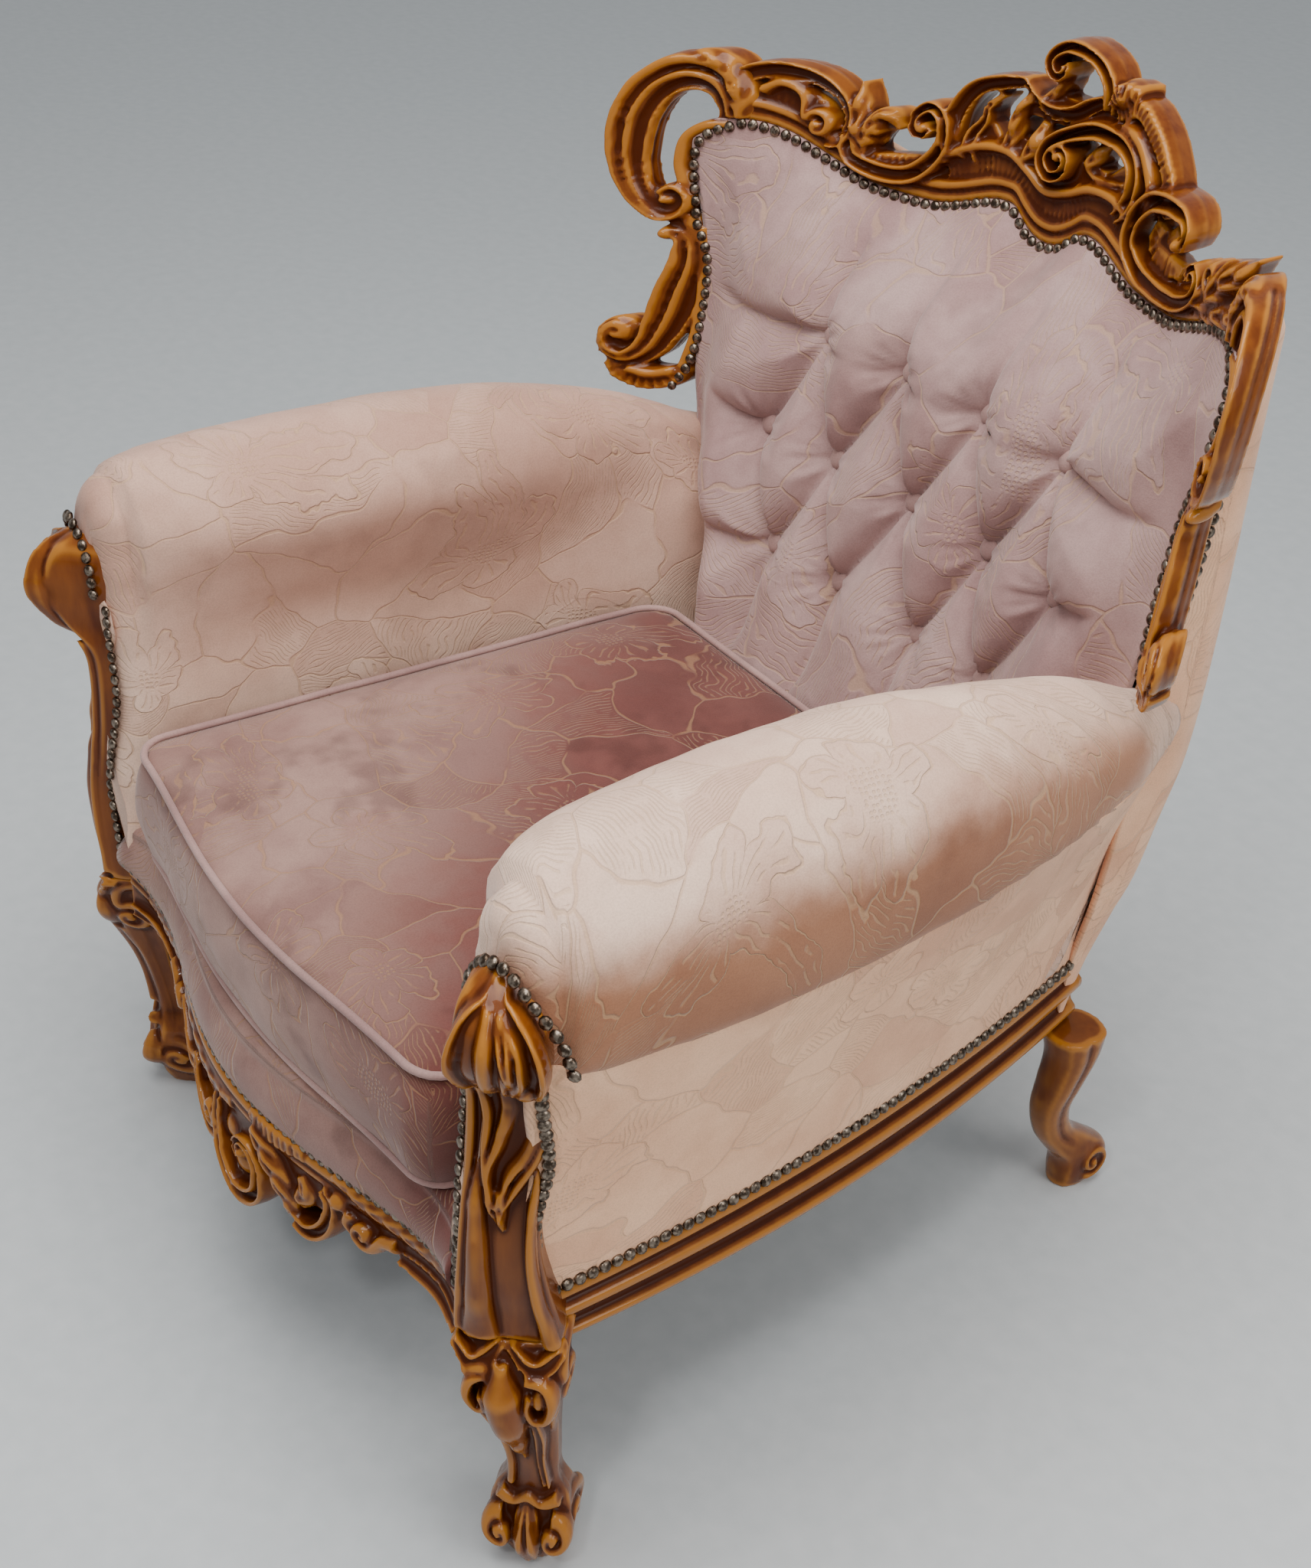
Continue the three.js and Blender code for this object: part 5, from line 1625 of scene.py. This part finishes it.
def side_nails(side):
    """Along the top of the side rail."""
    ys = [lerp(-374, 282, k / 100) for k in range(101)]
    return nail_row([(side * (panel_x(y, SEAT_RAIL_TOP + 5) + 2.5), y, SEAT_RAIL_TOP + 5) for y in ys],
                    [Vector((side, 0.05, 0.35)) for y in ys])


OUTER_NAIL_Y = [(322, -381), (343, -388), (414, -397), (475, -391), (542, -401), (560, -404)]
HEAD_NAILS = [(350, -426, 612), (352, -426, 632), (362, -425, 650), (376, -425, 664), (395, -424, 671),
              (413, -421, 666),
              (426, -416, 653), (437, -411, 643), (445, -406, 632), (449, -402, 618), (451, -398, 602)]


def post_nails(side):
    """Up the outer edge of the post, over its head and down the inner edge."""
    outer = [(z, station(OUTER_NAIL_Y, z)[0]) for z in range(322, 563, 4)]
    rows = [([(panel_x(y, z) + 4.5, y, z) for z, y in outer], [Vector((1.0, -0.45, 0.1))] * len(outer))]
    head = smooth_line(HEAD_NAILS, 90)
    rows.append((head, [Vector(((p.x - 392) / 80, -1, (p.z - 620) / 90)) for p in head]))
    inner = []
    for z in range(322, 600, 4):
        left, front = station(ARM_POST, z)[0], ARM_FRONT - 14 * ramp(z, 520, 400)
        inner.append((CORNER_X + math.sqrt(2) * left - (front + 425) - 5, front - 3, z))
    rows.append((inner, [Vector((-0.2, -1, 0.0))] * len(inner)))
    return joined([nail_row([(side * x, y, z) for x, y, z in points],
                            [Vector((side * f.x, f.y, f.z)) for f in turns])
                   for points, turns in rows])


NAIL_GROUPS = {
    "nails_back": [crest_nails(), scroll_nails(1), scroll_nails(-1), return_nails(1), return_nails(-1)],
    "nails_seat": [front_nails(), side_nails(1), side_nails(-1)],
    "nails_posts": [post_nails(1), post_nails(-1)],
}
for name, rows in NAIL_GROUPS.items():
    finish_mesh(joined(rows), name, NAILS)


# ---------------------------------------------------------------- seat cushion
# A loose velour cushion over a soft filling: crowned top, and a border boxed between two
# lines of self piping that are sewn into the seams.  It rests on the sprung deck.

CUSHION_LOW, CUSHION_WELT, CUSHION_CROWN = 364.0, 481.0, 15.0
CUSHION_FRONT_HALF, CUSHION_BACK_HALF, CUSHION_BACK_Y = 283.0, 262.0, 158.0
CUSHION_CORNER, CUSHION_BULGE, CUSHION_SAT_ON = 34.0, 13.0, 9.0
PIPING_PROUD = 2.5


def cushion_plan(a, b, out=0.0):
    """a, b from -1 to 1 across and front to back; out is how far the border bulges."""
    half = lerp(CUSHION_FRONT_HALF, CUSHION_BACK_HALF, (b + 1) / 2) + out
    front = front_y(a * half * 0.98) * 0.55 - 195 - out
    back = CUSHION_BACK_Y + out * 0.4
    x = a * half
    ax, corner = abs(x) - (half - CUSHION_CORNER), CUSHION_CORNER
    y = lerp(front, back, (b + 1) / 2)
    ends = ((y - front), (back - y))
    ay = corner - min(ends)
    if ax > 0 and ay > 0:
        qx, qy = ax / corner, ay / corner
        x = math.copysign(half - corner + corner * qx * math.sqrt(1 - qy * qy / 2), x)
        ny = corner * qy * math.sqrt(1 - qx * qx / 2)
        y = front + corner - ny if ends[0] < ends[1] else back - corner + ny
    return x, y


def cushion_point(u, v, w):
    """Crowned top (w = 1), flat underside (w = 0) and the bulging border between."""
    a, b = 2 * u - 1, 2 * v - 1
    edge = max(abs(a), abs(b))
    if w > 0.999:
        x, y = cushion_plan(a, b)
        rise = (1 - a**4) * (1 - b**4)
        rim = math.sqrt(max(0.0, 1 - ramp(edge, 0.86, 1.0) ** 2))
        z = CUSHION_WELT - 2 + CUSHION_CROWN * rise + 5 * rim
        sag = noise(Vector((x * 0.006, y * 0.006, 3.0))) * 5
        sag += noise(Vector((x * 0.02, y * 0.02, 8.0))) * 1.6
        z += sag * rise - CUSHION_SAT_ON * math.exp(-((x / 150) ** 2 + ((y + 170) / 140) ** 2))
        return (x, y, z), (x + 40, y)
    if w < 0.001:
        x, y = cushion_plan(a, b)
        return (x, y, CUSHION_LOW), (x + 700, y)
    bulge = CUSHION_BULGE * math.sin(math.pi * w) ** 0.7 + 2.5 * noise(Vector((u * 9, v * 9, w * 3)))
    x, y = cushion_plan(a, b, bulge)
    z = lerp(CUSHION_LOW + 2, CUSHION_WELT - 3, w)
    down = CUSHION_WELT - z
    return (x, y, z), ((x + 40, y - down) if abs(b) > 0.999 else (x + down, y))


stuffed(shape(lump((110, 110, 16)), cushion_point), "cushion", SEAT_VELOUR, "seat_cushion")


def cord_mesh(points, radius):
    """A round cord along a closed line of points."""
    data = bpy.data.curves.new("cord", "CURVE")
    data.dimensions = "3D"
    data.bevel_depth = radius * MM
    data.bevel_resolution = 3
    line = data.splines.new("POLY")
    line.points.add(len(points) - 1)
    for point, place in zip(line.points, points):
        point.co = (*(Vector(place) * MM), 1.0)
    line.use_cyclic_u = True
    holder = bpy.data.objects.new("cord", data)
    bpy.context.collection.objects.link(holder)
    bm = bmesh.new()
    bm.from_mesh(holder.to_mesh())
    holder.to_mesh_clear()
    bpy.data.objects.remove(holder)
    bpy.data.curves.remove(data)
    bmesh.ops.remove_doubles(bm, verts=bm.verts, dist=1e-6)
    return bm


def cushion_seam(z):
    """The line of the piping round the cushion at height z, a little wavy."""
    ring = []
    for side in range(4):
        for i in range(60):
            t = i / 60 * 2 - 1
            a, b = ((t, -1), (1, t), (-t, 1), (-1, -t))[side]
            x, y = cushion_plan(a, b, PIPING_PROUD)
            ring.append((x, y, z + noise(Vector((x * 0.012, y * 0.012, z * 0.01))) * 1.5))
    return ring


finish_mesh(joined([cord_mesh(cushion_seam(CUSHION_WELT + 1), 3.6),
                    cord_mesh(cushion_seam(CUSHION_LOW + 4), 3.4)]),
            "cushion_piping", TRIM_VELOUR)
